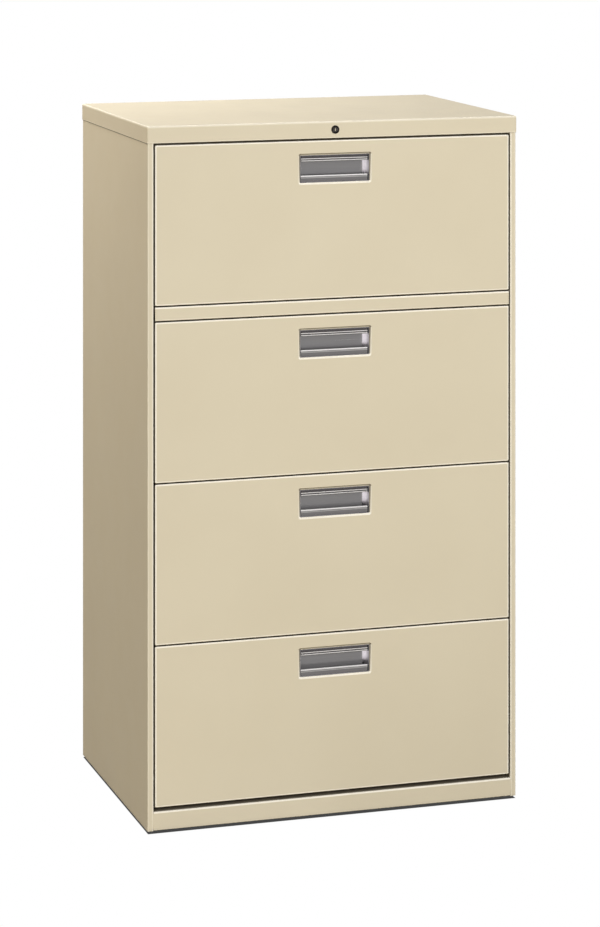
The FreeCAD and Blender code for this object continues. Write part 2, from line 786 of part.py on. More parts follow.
def lock_core():
    """The plug with its key slot, and the cam with the pin that moves the link."""
    front = CAP_FRONT_Y - LOCK_PROUD + PLUG_SINK
    cam_y = FACE_Y + CAM_SETBACK
    pin_x = -CAM_THROW * math.sqrt(0.5)
    pin_z = LOCK_Z + CAM_THROW * math.sqrt(0.5)
    plug = rod(0, LOCK_Z, PLUG_RADIUS, front, cam_y)
    slot = box(
        -KEY_SLOT_WIDTH / 2, KEY_SLOT_WIDTH / 2, front - PAST, front + KEY_SLOT_DEPTH,
        LOCK_Z - KEY_SLOT_HEIGHT / 2, LOCK_Z + KEY_SLOT_HEIGHT / 2,
    )
    cam = arm_plate((0, LOCK_Z), LOCK_BARREL, (pin_x, pin_z), PIN_RADIUS + PLATE_EDGE, cam_y)
    pin = rod(pin_x, pin_z, PIN_RADIUS, cam_y + PLATE / 2, LINK_Y + PLATE)
    return plug.cut(slot).fuse([cam, pin])


def arm_plate(hub, hub_radius, end, end_radius, y):
    """A flat arm: two round ends and the straight plate that joins them."""
    hub_disc = rod(hub[0], hub[1], hub_radius, y, y + PLATE)
    end_disc = rod(end[0], end[1], end_radius, y, y + PLATE)
    way = FreeCAD.Vector(end[0] - hub[0], end[1] - hub[1], 0).normalize()
    across = FreeCAD.Vector(-way.y, way.x, 0)
    corners = [
        (hub[0] + across.x * end_radius, hub[1] + across.y * end_radius),
        (hub[0] - across.x * end_radius, hub[1] - across.y * end_radius),
        (end[0] - across.x * end_radius, end[1] - across.y * end_radius),
        (end[0] + across.x * end_radius, end[1] + across.y * end_radius),
    ]
    return hub_disc.fuse([end_disc, outline(FRONT, corners, y, y + PLATE)])


def lock_link():
    """The flat bar from the lock to the bell crank, with an upright slot at each end."""
    pin_start = -LINK_TRAVEL / 2
    crank_start = CRANK_X - LINK_TRAVEL / 2
    half = PLATE_EDGE + SLOT_HALF
    cam_rise = CAM_THROW * (1 - math.sqrt(0.5)) / 2 + SLOT_HALF
    crank_rise = (CRANK_ARM - CRANK_LOW) / 2 + SLOT_HALF
    height = PLATE_EDGE + cam_rise
    bar = outline(
        FRONT, rectangle(crank_start - half, pin_start + half, LINK_Z - height, LINK_Z + height),
        LINK_Y, LINK_Y + PLATE, PLATE_EDGE,
    )
    cuts = []
    for x, rise in ((pin_start, cam_rise), (crank_start, crank_rise)):
        cuts.append(outline(
            FRONT, rectangle(x - SLOT_HALF, x + SLOT_HALF, LINK_Z - rise, LINK_Z + rise),
            LINK_Y - PAST, LINK_Y + PLATE + PAST,
        ))
    return bar.cut(cuts)


def bell_crank():
    """Two arms at a right angle, drawn here unlocked, with a pin for the link and one for the bar."""
    up = (CRANK_X - CRANK_ARM * math.sin(CRANK_SWING), CRANK_Z + CRANK_LOW)
    out = (CRANK_X - CRANK_LOW, CRANK_Z - CRANK_ARM * math.sin(CRANK_SWING))
    hub = (CRANK_X, CRANK_Z)
    tip = PIN_RADIUS + PLATE_EDGE
    plates = arm_plate(hub, CRANK_BOSS, up, tip, CRANK_Y)
    plates = plates.fuse(arm_plate(hub, CRANK_BOSS, out, tip, CRANK_Y))
    pins = [rod(x, z, PIN_RADIUS, LINK_Y, CRANK_Y + PLATE / 2) for x, z in (up, out)]
    bore = rod(CRANK_X, CRANK_Z, PIVOT_RADIUS + TURN_FIT, CRANK_Y - PAST, CRANK_Y + PLATE + PAST)
    return plates.fuse(pins).cut(bore)


def lock_bar():
    """The upright bar, with a slot for the crank's pin, and a hook riveted on below each drawer's catch."""
    pin_rise = CRANK_ARM * math.sin(CRANK_SWING)
    slot_z = CRANK_Z - pin_rise
    top = slot_z + SLOT_HALF + PLATE_EDGE
    left = BAR_X - BAR_WIDTH / 2
    right = BAR_X + BAR_WIDTH / 2
    low = catch_level(DRAWERS) - CATCH_HEIGHT / 2 - HOOK_PLAY - HOOK_HEIGHT
    strip = outline(FRONT, rectangle(left, right, low, top), LINK_Y, LINK_Y + PLATE)
    slot_reach = (CRANK_ARM - CRANK_LOW) / 2 + SLOT_HALF
    slot = outline(
        FRONT, rectangle(BAR_X - slot_reach, BAR_X + slot_reach, slot_z - SLOT_HALF, slot_z + SLOT_HALF),
        LINK_Y - PAST, LINK_Y + PLATE + PAST,
    )
    pieces = [strip.cut(slot)]
    tip_x = right + HOOK_REACH
    for number in range(1, DRAWERS + 1):
        tip_z = catch_level(number) - CATCH_HEIGHT / 2 - HOOK_PLAY
        hook = [
            (left, tip_z - HOOK_HEIGHT),
            (right, tip_z - HOOK_HEIGHT),
            (tip_x, tip_z - HOOK_HEIGHT + HOOK_REACH / 2),
            (tip_x, tip_z),
            (left, tip_z),
        ]
        pieces.append(outline(FRONT, hook, LINK_Y + PLATE, LINK_Y + 2 * PLATE))
    return Part.makeCompound(pieces)


def bar_keeper(z):
    """A clip on the side panel that the lock bar slides through."""
    wall = -SIDE_INNER_X + KEEPER_WALL
    tip = BAR_X + BAR_WIDTH / 2 - EASY
    near = LINK_Y - EASY
    far = LINK_Y + PLATE + EASY
    path = [
        (tip, near),
        (wall, near),
        (wall, far),
        (tip, far),
    ]
    return folded(PLAN, path, KEEPER_WALL, z, z + KEEPER_HEIGHT, folds=None)


def link_keeper(x):
    """A clip on the top rail that the link slides through."""
    wall = FACE_Y + TOP_RAIL_SETBACK - KEEPER_WALL
    tip = LINK_Y + EASY
    height = PLATE_EDGE + CAM_THROW * (1 - math.sqrt(0.5)) / 2 + SLOT_HALF + EASY
    path = [
        (tip, LINK_Z - height),
        (wall, LINK_Z - height),
        (wall, LINK_Z + height),
        (tip, LINK_Z + height),
    ]
    return folded(SIDE, path, KEEPER_WALL, x, x + KEEPER_HEIGHT, left=False, folds=None)


def lock_keepers():
    keepers = [link_keeper(CRANK_X + KEEPER_FROM_CRANK), link_keeper(-KEEPER_FROM_LOCK)]
    keepers += [bar_keeper(catch_level(number) + KEEPER_UP) for number in (1, 2, DRAWERS)]
    return Part.makeCompound(keepers)


def parts():
    """Every piece by the name of its file."""
    side = right_side_panel()
    pieces = {
        "right_side_panel": side,
        "left_side_panel": mirrored(side),
        "back_panel": back_panel(),
        "top_cap": top_cap(),
        "top_rail": top_rail(),
        "base_rail": base_rail(),
        "base_pan": base_pan(),
        "front_uprights": front_uprights(),
        "rear_uprights": rear_uprights(),
        "filler_rail": filler_rail(),
        "counterweight": counterweight(),
        "glide_brackets": glide_brackets(),
        "lock_housing": lock_housing(),
        "lock_nut": lock_nut(),
        "lock_core": lock_core(),
        "lock_link": lock_link(),
        "bell_crank": bell_crank(),
        "lock_bar": lock_bar(),
        "lock_keepers": lock_keepers(),
    }
    for place, (x, y) in glide_places().items():
        pieces["glide_" + place] = glide(x, y)
    outers = []
    for number in range(1, DRAWERS + 1):
        name = "drawer_%d_" % number
        outer = outer_member(number)
        outers += [outer, mirrored(outer)]
        pieces[name + "front"] = drawer_front(number)
        pieces[name + "front_liner"] = front_liner(number)
        pieces[name + "pull_pocket"] = pull_pocket(number)
        pieces[name + "pull"] = pull(number)
        pieces[name + "tray"] = tray(number)
        pieces[name + "hangrail"] = hangrail(number)
        pieces[name + "lock_catch"] = lock_catch(number)
        pieces[name + "slide_inner"] = both_sides(inner_member(number))
        pieces["slide_%d_middle" % number] = both_sides(middle_member(number))
    pieces["slide_outer_members"] = Part.makeCompound(outers)
    return pieces


def main():
    os.makedirs("parts", exist_ok=True)
    pieces = parts()
    for name, shape in pieces.items():
        shape.exportStep(os.path.join("parts", name + ".step"))
    print("pieces", len(pieces), "height", round(HEIGHT, 2))


main()
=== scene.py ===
import bpy
import bmesh
import json
import math
from mathutils import Matrix, Vector


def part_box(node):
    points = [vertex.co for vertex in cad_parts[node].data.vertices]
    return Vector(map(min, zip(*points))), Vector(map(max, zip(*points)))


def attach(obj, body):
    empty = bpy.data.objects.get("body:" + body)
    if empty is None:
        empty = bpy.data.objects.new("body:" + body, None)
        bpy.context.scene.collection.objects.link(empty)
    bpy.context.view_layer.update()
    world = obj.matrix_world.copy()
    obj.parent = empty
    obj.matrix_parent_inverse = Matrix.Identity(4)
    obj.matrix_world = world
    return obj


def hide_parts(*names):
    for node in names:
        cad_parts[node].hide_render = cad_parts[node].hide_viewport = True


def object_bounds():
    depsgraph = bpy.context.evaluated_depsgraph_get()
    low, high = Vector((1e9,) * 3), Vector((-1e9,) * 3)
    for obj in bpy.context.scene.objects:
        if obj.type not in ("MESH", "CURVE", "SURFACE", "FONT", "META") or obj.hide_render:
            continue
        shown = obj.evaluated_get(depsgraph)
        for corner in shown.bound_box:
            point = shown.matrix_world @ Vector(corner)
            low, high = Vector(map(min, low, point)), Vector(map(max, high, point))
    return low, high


# A putty-coloured steel lateral filing cabinet. Metres, front towards -Y, on the floor at Z 0.
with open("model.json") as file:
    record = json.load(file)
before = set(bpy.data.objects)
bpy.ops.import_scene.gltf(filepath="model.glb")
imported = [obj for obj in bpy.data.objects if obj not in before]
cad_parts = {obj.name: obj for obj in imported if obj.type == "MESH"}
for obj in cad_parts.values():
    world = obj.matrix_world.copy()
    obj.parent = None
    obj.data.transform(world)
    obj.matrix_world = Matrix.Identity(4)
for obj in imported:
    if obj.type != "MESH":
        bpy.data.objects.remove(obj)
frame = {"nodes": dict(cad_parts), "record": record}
cadBox = [list(corner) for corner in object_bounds()]
nodes = frame["nodes"]
mm = 0.001
drawers = (1, 2, 3, 4)
print("frame:", len(nodes), "pieces")


def putIn(name, data):
    thing = bpy.data.objects.new(name, data)
    bpy.context.scene.collection.objects.link(thing)
    return thing


# Camera first, where the photographer stood. The photograph has been straightened: its upright lines
# are parallel, as with a level camera whose lens is moved down and aside. Slanting the camera's own
# axes on its stand makes the same move, and keeps other views of the part centred.
camera = {
    "place": (-1.922, -5.602, 1.917),
    "yaw": 16.06,       # degrees to the right of straight ahead
    "lens": 113.36,     # mm, as is the sensor
    "sensor": 36.0,
    "drop": 0.6823,     # shares of the picture's height by which its middle is below
    "aside": 0.164,     # and to the right of the level line of sight
    "farthest": 60.0,   # metres
}
lens = bpy.data.cameras.new("camera")
lens.sensor_width = camera["sensor"]
lens.clip_end = camera["farthest"]
eye = putIn("camera", lens)
eye.location = camera["place"]
eye.rotation_euler = (math.radians(90), 0, math.radians(-camera["yaw"]))
stand = putIn("stand", None)
level = Matrix.Translation(camera["place"]) @ eye.rotation_euler.to_matrix().to_4x4()
down = camera["drop"] * camera["sensor"] / camera["lens"]
aside = camera["aside"] * camera["sensor"] / camera["lens"]
stretch = math.sqrt(1 + down ** 2 + aside ** 2)
slant = Matrix.Identity(4)
slant.col[2] = (-aside / stretch, down / stretch, 1 / stretch, 0)
lens.lens = camera["lens"] * stretch
eye.parent = stand
eye.matrix_parent_inverse = level @ slant @ level.inverted()
bpy.context.scene.camera = eye


# Node and colour helpers
def linear(code):
    channels = [int(code[i:i + 2], 16) / 255 for i in (1, 3, 5)]
    return [c / 12.92 if c <= 0.04045 else ((c + 0.055) / 1.055) ** 2.4 for c in channels] + [1.0]


def feed(tree, node, inputs):
    for name, value in inputs.items():
        if isinstance(value, bpy.types.NodeSocket):
            tree.links.new(value, node.inputs[name])
        else:
            node.inputs[name].default_value = value


def addNode(tree, kind, inputs=None, **settings):
    node = tree.nodes.new(kind)
    for name, value in settings.items():
        setattr(node, name, value)
    feed(tree, node, inputs or {})
    return node


def newFinish(name):
    finish = bpy.data.materials.new(name)
    finish.use_nodes = True
    tree = finish.node_tree
    tree.nodes.clear()
    shader = addNode(tree, "ShaderNodeBsdfPrincipled")
    addNode(tree, "ShaderNodeOutputMaterial", {"Surface": shader.outputs["BSDF"]})
    place = addNode(tree, "ShaderNodeTexCoord").outputs["Object"]
    return finish, tree, shader, place


# Sizes of the finishes' patterns: the real ones, or as coarse as they need to be to show
pattern = {
    "sprayCloud": 220 * mm,
    "sprayHaze": 60 * mm,
    "orangePeel": 4 * mm,       # really about 1.5 mm from lump to lump
    # patches in the painted edge highlight
    "highlightPatch": 18 * mm,
    "gapShade": 12 * mm,         # how near another surface the painted shade gathers
    # how near another surface the painted shade in slots gathers
    "slotShade": 6 * mm,
    "spangle": 6 * mm,          # really about 3 mm
    "zincPatch": 50 * mm,
    "scaleBreak": 20 * mm,
    "mouldGrain": 1.2 * mm,
    "scuff": 10 * mm,
}
tint = {
    "paintedEdgeHighlight": "#FFF9EA",     # painted highlight over folded edges
    # the next four: painted shade in gaps and slots, a painted highlight on the pull's crowns, and painted
    # shade within its rim
    "gapShade": "#32251A",
    "slotShade": "#3A3436",
    "paintedCrownHighlight": "#FFFDFC",
    "rimShade": "#4C4448",
}


# Baked enamel on steel sheet: soft gloss, a faint cloudiness from spraying, and orange peel
def puttyEnamel(name, pale, deep, gloss):
    finish, tree, shader, place = newFinish(name)
    cloud = addNode(tree, "ShaderNodeTexNoise", {
        "Vector": place, "Scale": 1 / pattern["sprayCloud"], "Detail": 3.0})
    tone = addNode(tree, "ShaderNodeMix", {
        0: cloud.outputs["Fac"], "A": linear(pale), "B": linear(deep)}, data_type="RGBA")
    # painted highlight over the folded edges, in random patches; there the paint is also smoother
    edge = addNode(tree, "ShaderNodeAttribute", attribute_name="paintedHighlight")
    highlightNoise = addNode(tree, "ShaderNodeTexNoise", {
        "Vector": place, "Scale": 1 / pattern["highlightPatch"], "Detail": 4.0})
    highlightPatches = addNode(tree, "ShaderNodeMapRange", {
        "Value": highlightNoise.outputs["Fac"], "From Min": 0.3, "From Max": 0.7, "To Min": 0.82, "To Max": 1.0})
    # no painted highlight on what faces down
    facing = addNode(tree, "ShaderNodeSeparateXYZ", {
        "Vector": addNode(tree, "ShaderNodeNewGeometry").outputs["Normal"]})
    bare = addNode(tree, "ShaderNodeMapRange", {
        "Value": facing.outputs["Z"], "From Min": -0.5, "From Max": -0.1})
    reached = addNode(tree, "ShaderNodeMath", {
        0: edge.outputs["Fac"], 1: bare.outputs["Result"]}, operation="MULTIPLY")
    highlit = addNode(tree, "ShaderNodeMath", {
        0: reached.outputs[0], 1: highlightPatches.outputs["Result"]}, operation="MULTIPLY")
    paint = addNode(tree, "ShaderNodeMix", {
        0: highlit.outputs[0], "A": tone.outputs["Result"], "B": linear(tint["paintedEdgeHighlight"])},
        data_type="RGBA")
    # painted shade in the gaps, less on the edges with painted highlight; it darkens the colour and takes
    # away the gloss
    near = addNode(tree, "ShaderNodeAmbientOcclusion", {"Distance": pattern["gapShade"]}, samples=4)
    reach = addNode(tree, "ShaderNodeMapRange", {
        "Value": reached.outputs[0], "To Min": 0.85, "To Max": 0.55})
    shade = addNode(tree, "ShaderNodeMapRange", {
        "Value": near.outputs["AO"], "From Min": 0.1, "From Max": reach.outputs["Result"]})
    paintedShade = addNode(tree, "ShaderNodeAttribute", attribute_name="paintedShade")
    free = addNode(tree, "ShaderNodeMath", {0: 1.0, 1: paintedShade.outputs["Fac"]}, operation="SUBTRACT")
    unshaded = addNode(tree, "ShaderNodeMath", {
        0: shade.outputs["Result"], 1: free.outputs[0]}, operation="MULTIPLY")
    gapShaded = addNode(tree, "ShaderNodeMix", {
        0: unshaded.outputs[0], "A": linear(tint["gapShade"]), "B": paint.outputs["Result"]},
        data_type="RGBA")
    shine = addNode(tree, "ShaderNodeMath", {0: unshaded.outputs[0], 1: 0.5}, operation="MULTIPLY")
    haze = addNode(tree, "ShaderNodeTexNoise", {
        "Vector": place, "Scale": 1 / pattern["sprayHaze"], "Detail": 4.0})
    rough = addNode(tree, "ShaderNodeMapRange", {
        "Value": haze.outputs["Fac"], "From Min": 0.3, "From Max": 0.7,
        "To Min": gloss - 0.04, "To Max": gloss + 0.05})
    smooth = addNode(tree, "ShaderNodeMath", {
        0: highlit.outputs[0], 1: -0.12, 2: rough.outputs["Result"]}, operation="MULTIPLY_ADD")
    peel = addNode(tree, "ShaderNodeTexNoise", {
        "Vector": place, "Scale": 1 / pattern["orangePeel"], "Detail": 1.5})
    bump = addNode(tree, "ShaderNodeBump", {
        "Height": peel.outputs["Fac"], "Strength": 0.06, "Distance": 0.4 * mm})
    feed(tree, shader, {
        "Base Color": gapShaded.outputs["Result"], "Roughness": smooth.outputs[0], "IOR": 1.5,
        "Specular IOR Level": shine.outputs[0], "Normal": bump.outputs["Normal"]})
    return finish


# Drawn metal: streaks along one way from the die or the rolls. They lie about 0.3 mm apart, and
# pitch draws them farther apart so that they show. bare is how much of it is bare metal.
def drawnMetal(name, pale, deep, gloss, stretch, pitch, bare=1.0):
    finish, tree, shader, place = newFinish(name)
    along = addNode(tree, "ShaderNodeMapping", {"Vector": place, "Scale": stretch})
    streak = addNode(tree, "ShaderNodeTexNoise", {
        "Vector": along.outputs["Vector"], "Scale": 1 / pitch, "Detail": 5.0, "Roughness": 0.6})
    tone = addNode(tree, "ShaderNodeMix", {
        0: streak.outputs["Fac"], "A": linear(deep), "B": linear(pale)}, data_type="RGBA")
    # painted shade in the slots and folds
    near = addNode(tree, "ShaderNodeAmbientOcclusion", {"Distance": pattern["slotShade"]}, samples=4)
    shade = addNode(tree, "ShaderNodeMapRange", {
        "Value": near.outputs["AO"], "From Min": 0.3, "From Max": 0.95})
    slotShaded = addNode(tree, "ShaderNodeMix", {
        0: shade.outputs["Result"], "A": linear(tint["slotShade"]), "B": tone.outputs["Result"]},
        data_type="RGBA")
    # painted highlight on the crowns, and painted shade between them
    crown = addNode(tree, "ShaderNodeAttribute", attribute_name="paintedHighlight")
    crownHighlit = addNode(tree, "ShaderNodeMix", {
        0: crown.outputs["Fac"], "A": slotShaded.outputs["Result"], "B": linear(tint["paintedCrownHighlight"])},
        data_type="RGBA")
    paintedShade = addNode(tree, "ShaderNodeAttribute", attribute_name="paintedShade")
    rimShaded = addNode(tree, "ShaderNodeMix", {
        0: paintedShade.outputs["Fac"], "A": crownHighlit.outputs["Result"], "B": linear(tint["rimShade"])},
        data_type="RGBA")
    rough = addNode(tree, "ShaderNodeMapRange", {
        "Value": streak.outputs["Fac"], "From Min": 0.25, "From Max": 0.75,
        "To Min": gloss - 0.06, "To Max": gloss + 0.08})
    bump = addNode(tree, "ShaderNodeBump", {
        "Height": streak.outputs["Fac"], "Strength": 0.05, "Distance": 0.2 * mm})
    # an anodised skin is milky and so less than a bare metal, and less again under the painted crown
    # highlight
    metalShare = addNode(tree, "ShaderNodeMath", {
        0: crown.outputs["Fac"], 1: -0.6 * bare if bare < 1 else 0.0, 2: bare}, operation="MULTIPLY_ADD")
    feed(tree, shader, {
        "Base Color": rimShaded.outputs["Result"], "Roughness": rough.outputs["Result"],
        "Metallic": metalShare.outputs[0], "Normal": bump.outputs["Normal"]})
    return finish


# Bright zinc on small steel parts: a fine spangle, bluish and warm
def zincPlate(name, pale, deep, gloss):
    finish, tree, shader, place = newFinish(name)
    grain = addNode(tree, "ShaderNodeTexVoronoi", {"Vector": place, "Scale": 1 / pattern["spangle"]})
    hue = addNode(tree, "ShaderNodeTexNoise", {
        "Vector": place, "Scale": 1 / pattern["zincPatch"], "Detail": 3.0})
    shade = addNode(tree, "ShaderNodeSeparateColor", {"Color": grain.outputs["Color"]})
    both = addNode(tree, "ShaderNodeMath", {
        0: shade.outputs["Red"], 1: hue.outputs["Fac"]}, operation="MULTIPLY")
    tone = addNode(tree, "ShaderNodeMix", {
        0: both.outputs[0], "A": linear(pale), "B": linear(deep)}, data_type="RGBA")
    rough = addNode(tree, "ShaderNodeMapRange", {
        "Value": hue.outputs["Fac"], "To Min": gloss - 0.08, "To Max": gloss + 0.1})
    feed(tree, shader, {
        "Base Color": tone.outputs["Result"], "Roughness": rough.outputs["Result"], "Metallic": 1.0})
    return finish


# Hot-rolled bar: blue-black scale with rusty breaks
def millScale(name, sound, rusty):
    finish, tree, shader, place = newFinish(name)
    breaks = addNode(tree, "ShaderNodeTexNoise", {
        "Vector": place, "Scale": 1 / pattern["scaleBreak"], "Detail": 6.0})
    share = addNode(tree, "ShaderNodeMapRange", {
        "Value": breaks.outputs["Fac"], "From Min": 0.55, "From Max": 0.7})
    tone = addNode(tree, "ShaderNodeMix", {
        0: share.outputs["Result"], "A": linear(sound), "B": linear(rusty)}, data_type="RGBA")
    bump = addNode(tree, "ShaderNodeBump", {
        "Height": breaks.outputs["Fac"], "Strength": 0.3, "Distance": 0.6 * mm})
    feed(tree, shader, {
        "Base Color": tone.outputs["Result"], "Roughness": 0.62, "Metallic": 0.4,
        "Normal": bump.outputs["Normal"]})
    return finish


# Moulded nylon or rubber: waxy, with fine moulding grain
def mouldedNylon(name, deep, pale):
    finish, tree, shader, place = newFinish(name)
    grain = addNode(tree, "ShaderNodeTexNoise", {
        "Vector": place, "Scale": 1 / pattern["mouldGrain"], "Detail": 2.0})
    scuff = addNode(tree, "ShaderNodeTexNoise", {
        "Vector": place, "Scale": 1 / pattern["scuff"], "Detail": 4.0})
    tone = addNode(tree, "ShaderNodeMix", {
        0: scuff.outputs["Fac"], "A": linear(deep), "B": linear(pale)}, data_type="RGBA")
    bump = addNode(tree, "ShaderNodeBump", {
        "Height": grain.outputs["Fac"], "Strength": 0.2, "Distance": 0.1 * mm})
    feed(tree, shader, {
        "Base Color": tone.outputs["Result"], "Roughness": 0.5, "Specular IOR Level": 0.25,
        "Normal": bump.outputs["Normal"]})
    return finish


acrossStreaks = (0.004, 1.0, 1.0)       # streaks run along X
alongSlides = (1.0, 0.02, 1.0)          # streaks run along Y
noStreaks = (1.0, 1.0, 1.0)
enamel = puttyEnamel("puttyEnamel", "#DDD3BB", "#D6CBB2", 0.38)
aluminium = drawnMetal("anodisedAluminium", "#BAB8B9", "#A6A4A5", 0.2, acrossStreaks, 1.5 * mm, 0.65)
slideSteel = drawnMetal("rolledSlideSteel", "#A9ABAE", "#85888C", 0.32, alongSlides, 1.0 * mm)
nickel = drawnMetal("blackNickelPlate", "#3B3734", "#2A2725", 0.30, noStreaks, 1.5 * mm)
plugPlate = drawnMetal("platedPlug", "#7A7571", "#625E5B", 0.16, noStreaks, 1.2 * mm)
# a lighter copy of the bright zinc for the pockets, so that their end walls read bright through the slot:
# painted light
pocketZincLitCopy = zincPlate("pocketZincLighterCopy", "#F6F2F5", "#EAE6E9", 0.28)
zinc = zincPlate("brightZinc", "#B9BABB", "#94979B", 0.36)
scale = millScale("millScaleSteel", "#35363A", "#6B4A36")
nylon = mouldedNylon("mouldedNylon", "#2B2A28", "#4A4743")
# the black and the olive strip finishes stand in for shade, at the pull's lip ends and under the cap's
# skirt
shadeStripBlack = mouldedNylon("blackShadeStrip", "#070606", "#0D0C0C")
oliveShadeStripFinish = mouldedNylon("oliveShadeStrip", "#4A3F2C", "#544834")
print("finishes made")


# The frame's own pieces take their finishes by the slot that they have in the record
finishOfSlot = {
    "enamel": enamel,
    "pull_aluminium": aluminium,
    "lock_chrome": nickel,
    "zinc": zinc,
    "slide_steel": slideSteel,
    "weight": scale,
}
for row in frame["record"]["subparts"]:
    mesh = nodes[row["node"]].data
    mesh.materials.clear()
    mesh.materials.append(finishOfSlot[row["material_slot"]])
nodes["lock_core"].data.materials[0] = plugPlate
for number in drawers:
    nodes["drawer_%d_pull_pocket" % number].data.materials[0] = pocketZincLitCopy
print("frame painted")


# Mesh helpers
def addPiece(name, shape, finish, body, smooth):
    mesh = bpy.data.meshes.new(name)
    shape.to_mesh(mesh)
    shape.free()
    mesh.polygons.foreach_set("use_smooth", [True] * len(mesh.polygons))
    mesh.set_sharp_from_angle(angle=math.radians(smooth))
    mesh.materials.append(finish)
    piece = putIn(name, mesh)
    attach(piece, body)
    return piece


def paintedLightShape():
    # an empty shape with the two layers that the finishes read: painted highlight and painted shade
    shape = bmesh.new()
    shape.verts.layers.float.new("paintedHighlight")
    paintedShade = shape.verts.layers.float.new("paintedShade")
    return shape, shape.verts.layers.float["paintedHighlight"], paintedShade


def roundedLoop(halfWidth, halfHeight, radius, steps=5, brace=0):
    # brace puts a further point beside each corner, which keeps the shading of long sides flat
    corners = []
    for turn, (sx, sz) in enumerate(((1, 1), (-1, 1), (-1, -1), (1, -1))):
        spots = [(90 * i / steps, 0) for i in range(steps + 1)]
        if brace:
            spots = [(0, -brace)] + spots + [(90, brace)]
        for degrees, along in spots:
            angle = math.radians(90 * turn + degrees)
            corners.append((
                sx * (halfWidth - radius) + radius * math.cos(angle) - along * math.sin(angle),
                sz * (halfHeight - radius) + radius * math.sin(angle) + along * math.cos(angle)))
    return corners


def ringsOf(shape, loops, highlight=None, layer=None):
    rows = []
    for k, loop in enumerate(loops):
        row = [shape.verts.new(spot) for spot in loop]
        if layer is not None and highlight[k]:
            for vert in row:
                vert[layer] = highlight[k]
        rows.append(row)
    for one, two in zip(rows[:-1], rows[1:]):
        count = len(one)
        for i in range(count):
            shape.faces.new((one[i], one[(i + 1) % count], two[(i + 1) % count], two[i]))
    return rows


def closedRings(shape, loops):
    rows = ringsOf(shape, loops)
    for row in (rows[0], rows[-1]):
        shape.faces.new(row)
    return rows


def roundedEnds(low, high, trim, full, less):
    # places along a strip, each with how much thinner it is there
    return (low + trim, less), (low + full, 0), (high - full, 0), (high - trim, less)


def fillBetween(shape, *rows):
    edges = []
    for row in rows:
        for i in range(len(row)):
            edges.append(shape.edges.get((row[i], row[(i + 1) % len(row)])))
    bmesh.ops.triangle_fill(shape, use_beauty=True, edges=edges)


def outwards(shape):
    bmesh.ops.recalc_face_normals(shape, faces=shape.faces)


def settle(piece, smooth):
    # turns what the modifiers make into the piece's own mesh
    graph = bpy.context.evaluated_depsgraph_get()
    mesh = bpy.data.meshes.new_from_object(piece.evaluated_get(graph))
    mesh.set_sharp_from_angle(angle=math.radians(smooth))
    piece.modifiers.clear()
    piece.data = mesh


def thicken(piece, sheet):
    # gives a skin its thickness, towards the inside
    wall = piece.modifiers.new("sheet", "SOLIDIFY")
    wall.thickness = sheet
    wall.offset = -1


def carve(piece, tool, smooth):
    # cuts the tool's shape out of the piece
    outwards(tool)
    mesh = bpy.data.meshes.new("tool")
    tool.to_mesh(mesh)
    tool.free()
    cutter = putIn("tool", mesh)
    cut = piece.modifiers.new("cut", "BOOLEAN")
    cut.operation = "DIFFERENCE"
    cut.object = cutter
    settle(piece, smooth)
    bpy.data.objects.remove(cutter)


# Geometry Nodes: what stands in a row, as ribs, screw threads and weld marks do
def rowTree():
    tree = bpy.data.node_groups.new("standInRow", "GeometryNodeTree")
    for name, kind in (
        ("Geometry", "NodeSocketGeometry"), ("Count", "NodeSocketInt"), ("Step", "NodeSocketVector"),
    ):
        tree.interface.new_socket(name, in_out="INPUT", socket_type=kind)
    tree.interface.new_socket("Geometry", in_out="OUTPUT", socket_type="NodeSocketGeometry")
    given = addNode(tree, "NodeGroupInput")
    row = addNode(tree, "GeometryNodeMeshLine", {
        "Count": given.outputs["Count"], "Offset": given.outputs["Step"]})
    copies = addNode(tree, "GeometryNodeInstanceOnPoints", {
        "Points": row.outputs["Mesh"], "Instance": given.outputs["Geometry"]})
    real = addNode(tree, "GeometryNodeRealizeInstances", {"Geometry": copies.outputs["Instances"]})
    addNode(tree, "NodeGroupOutput", {"Geometry": real.outputs["Geometry"]})
    return tree


standInRow = rowTree()


def inRow(name, shape, count, step, finish, body, smooth):
    piece = addPiece(name, shape, finish, body, smooth)
    row = piece.modifiers.new("row", "NODES")
    row.node_group = standInRow
    values = {"Count": count, "Step": step}
    for item in standInRow.interface.items_tree:
        if item.in_out == "INPUT" and item.name in values:
            row[item.identifier] = values[item.name]
    settle(piece, smooth)


# Drawer fronts: a pan with rolled edges and a rim pressed in round the pull
front = {
    "cornerRadius": 2.4 * mm,
    "edgeRadius": 1.9 * mm,
    "sheet": 0.8 * mm,
    "pullWidth": 149 * mm,
    "pullHeight": 59 * mm,
    "pullBelowTop": 25.5 * mm,
    "pullCorner": 3.5 * mm,
    "rim": 2.8 * mm,            # the ledge with its wall
    "rimWall": 0.8 * mm,
    "rimDepth": 1.5 * mm,
    "shadeBehind": 8 * mm,       # where the painted shade on the flanks begins
    "edgeShade": 0.9,            # painted shade just behind the edge, and under the lower one
    "rimShade": 0.78,        # painted shade under the rim's upper edge
    "upperShadeBand": 3 * mm,       # how far down it reaches
    "rimSideShade": 0.6,           # painted shade in the rim's sides
    "cornerBand": 4 * mm,       # how near its corners the rim counts as side or bottom
}


def pullMiddle(number):
    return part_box("drawer_%d_front" % number)[1].z - front["pullBelowTop"] - front["pullHeight"] / 2


def panProfile(face, back):
    # from the pan's open back round its edge to the face: (inset, y, painted highlight)
    edge = front["edgeRadius"]
    profile = [(0, back, 0), (0, face + front["shadeBehind"], 0), (0, face + edge * 1.25, 0)]
    for i in range(6):
        angle = math.radians(18 * i)
        profile.append((edge * (1 - math.cos(angle)), face + edge * (1 - math.sin(angle)), 1))
    return profile + [(edge * 1.25, face, 1), (edge * 1.7, face, 0)]


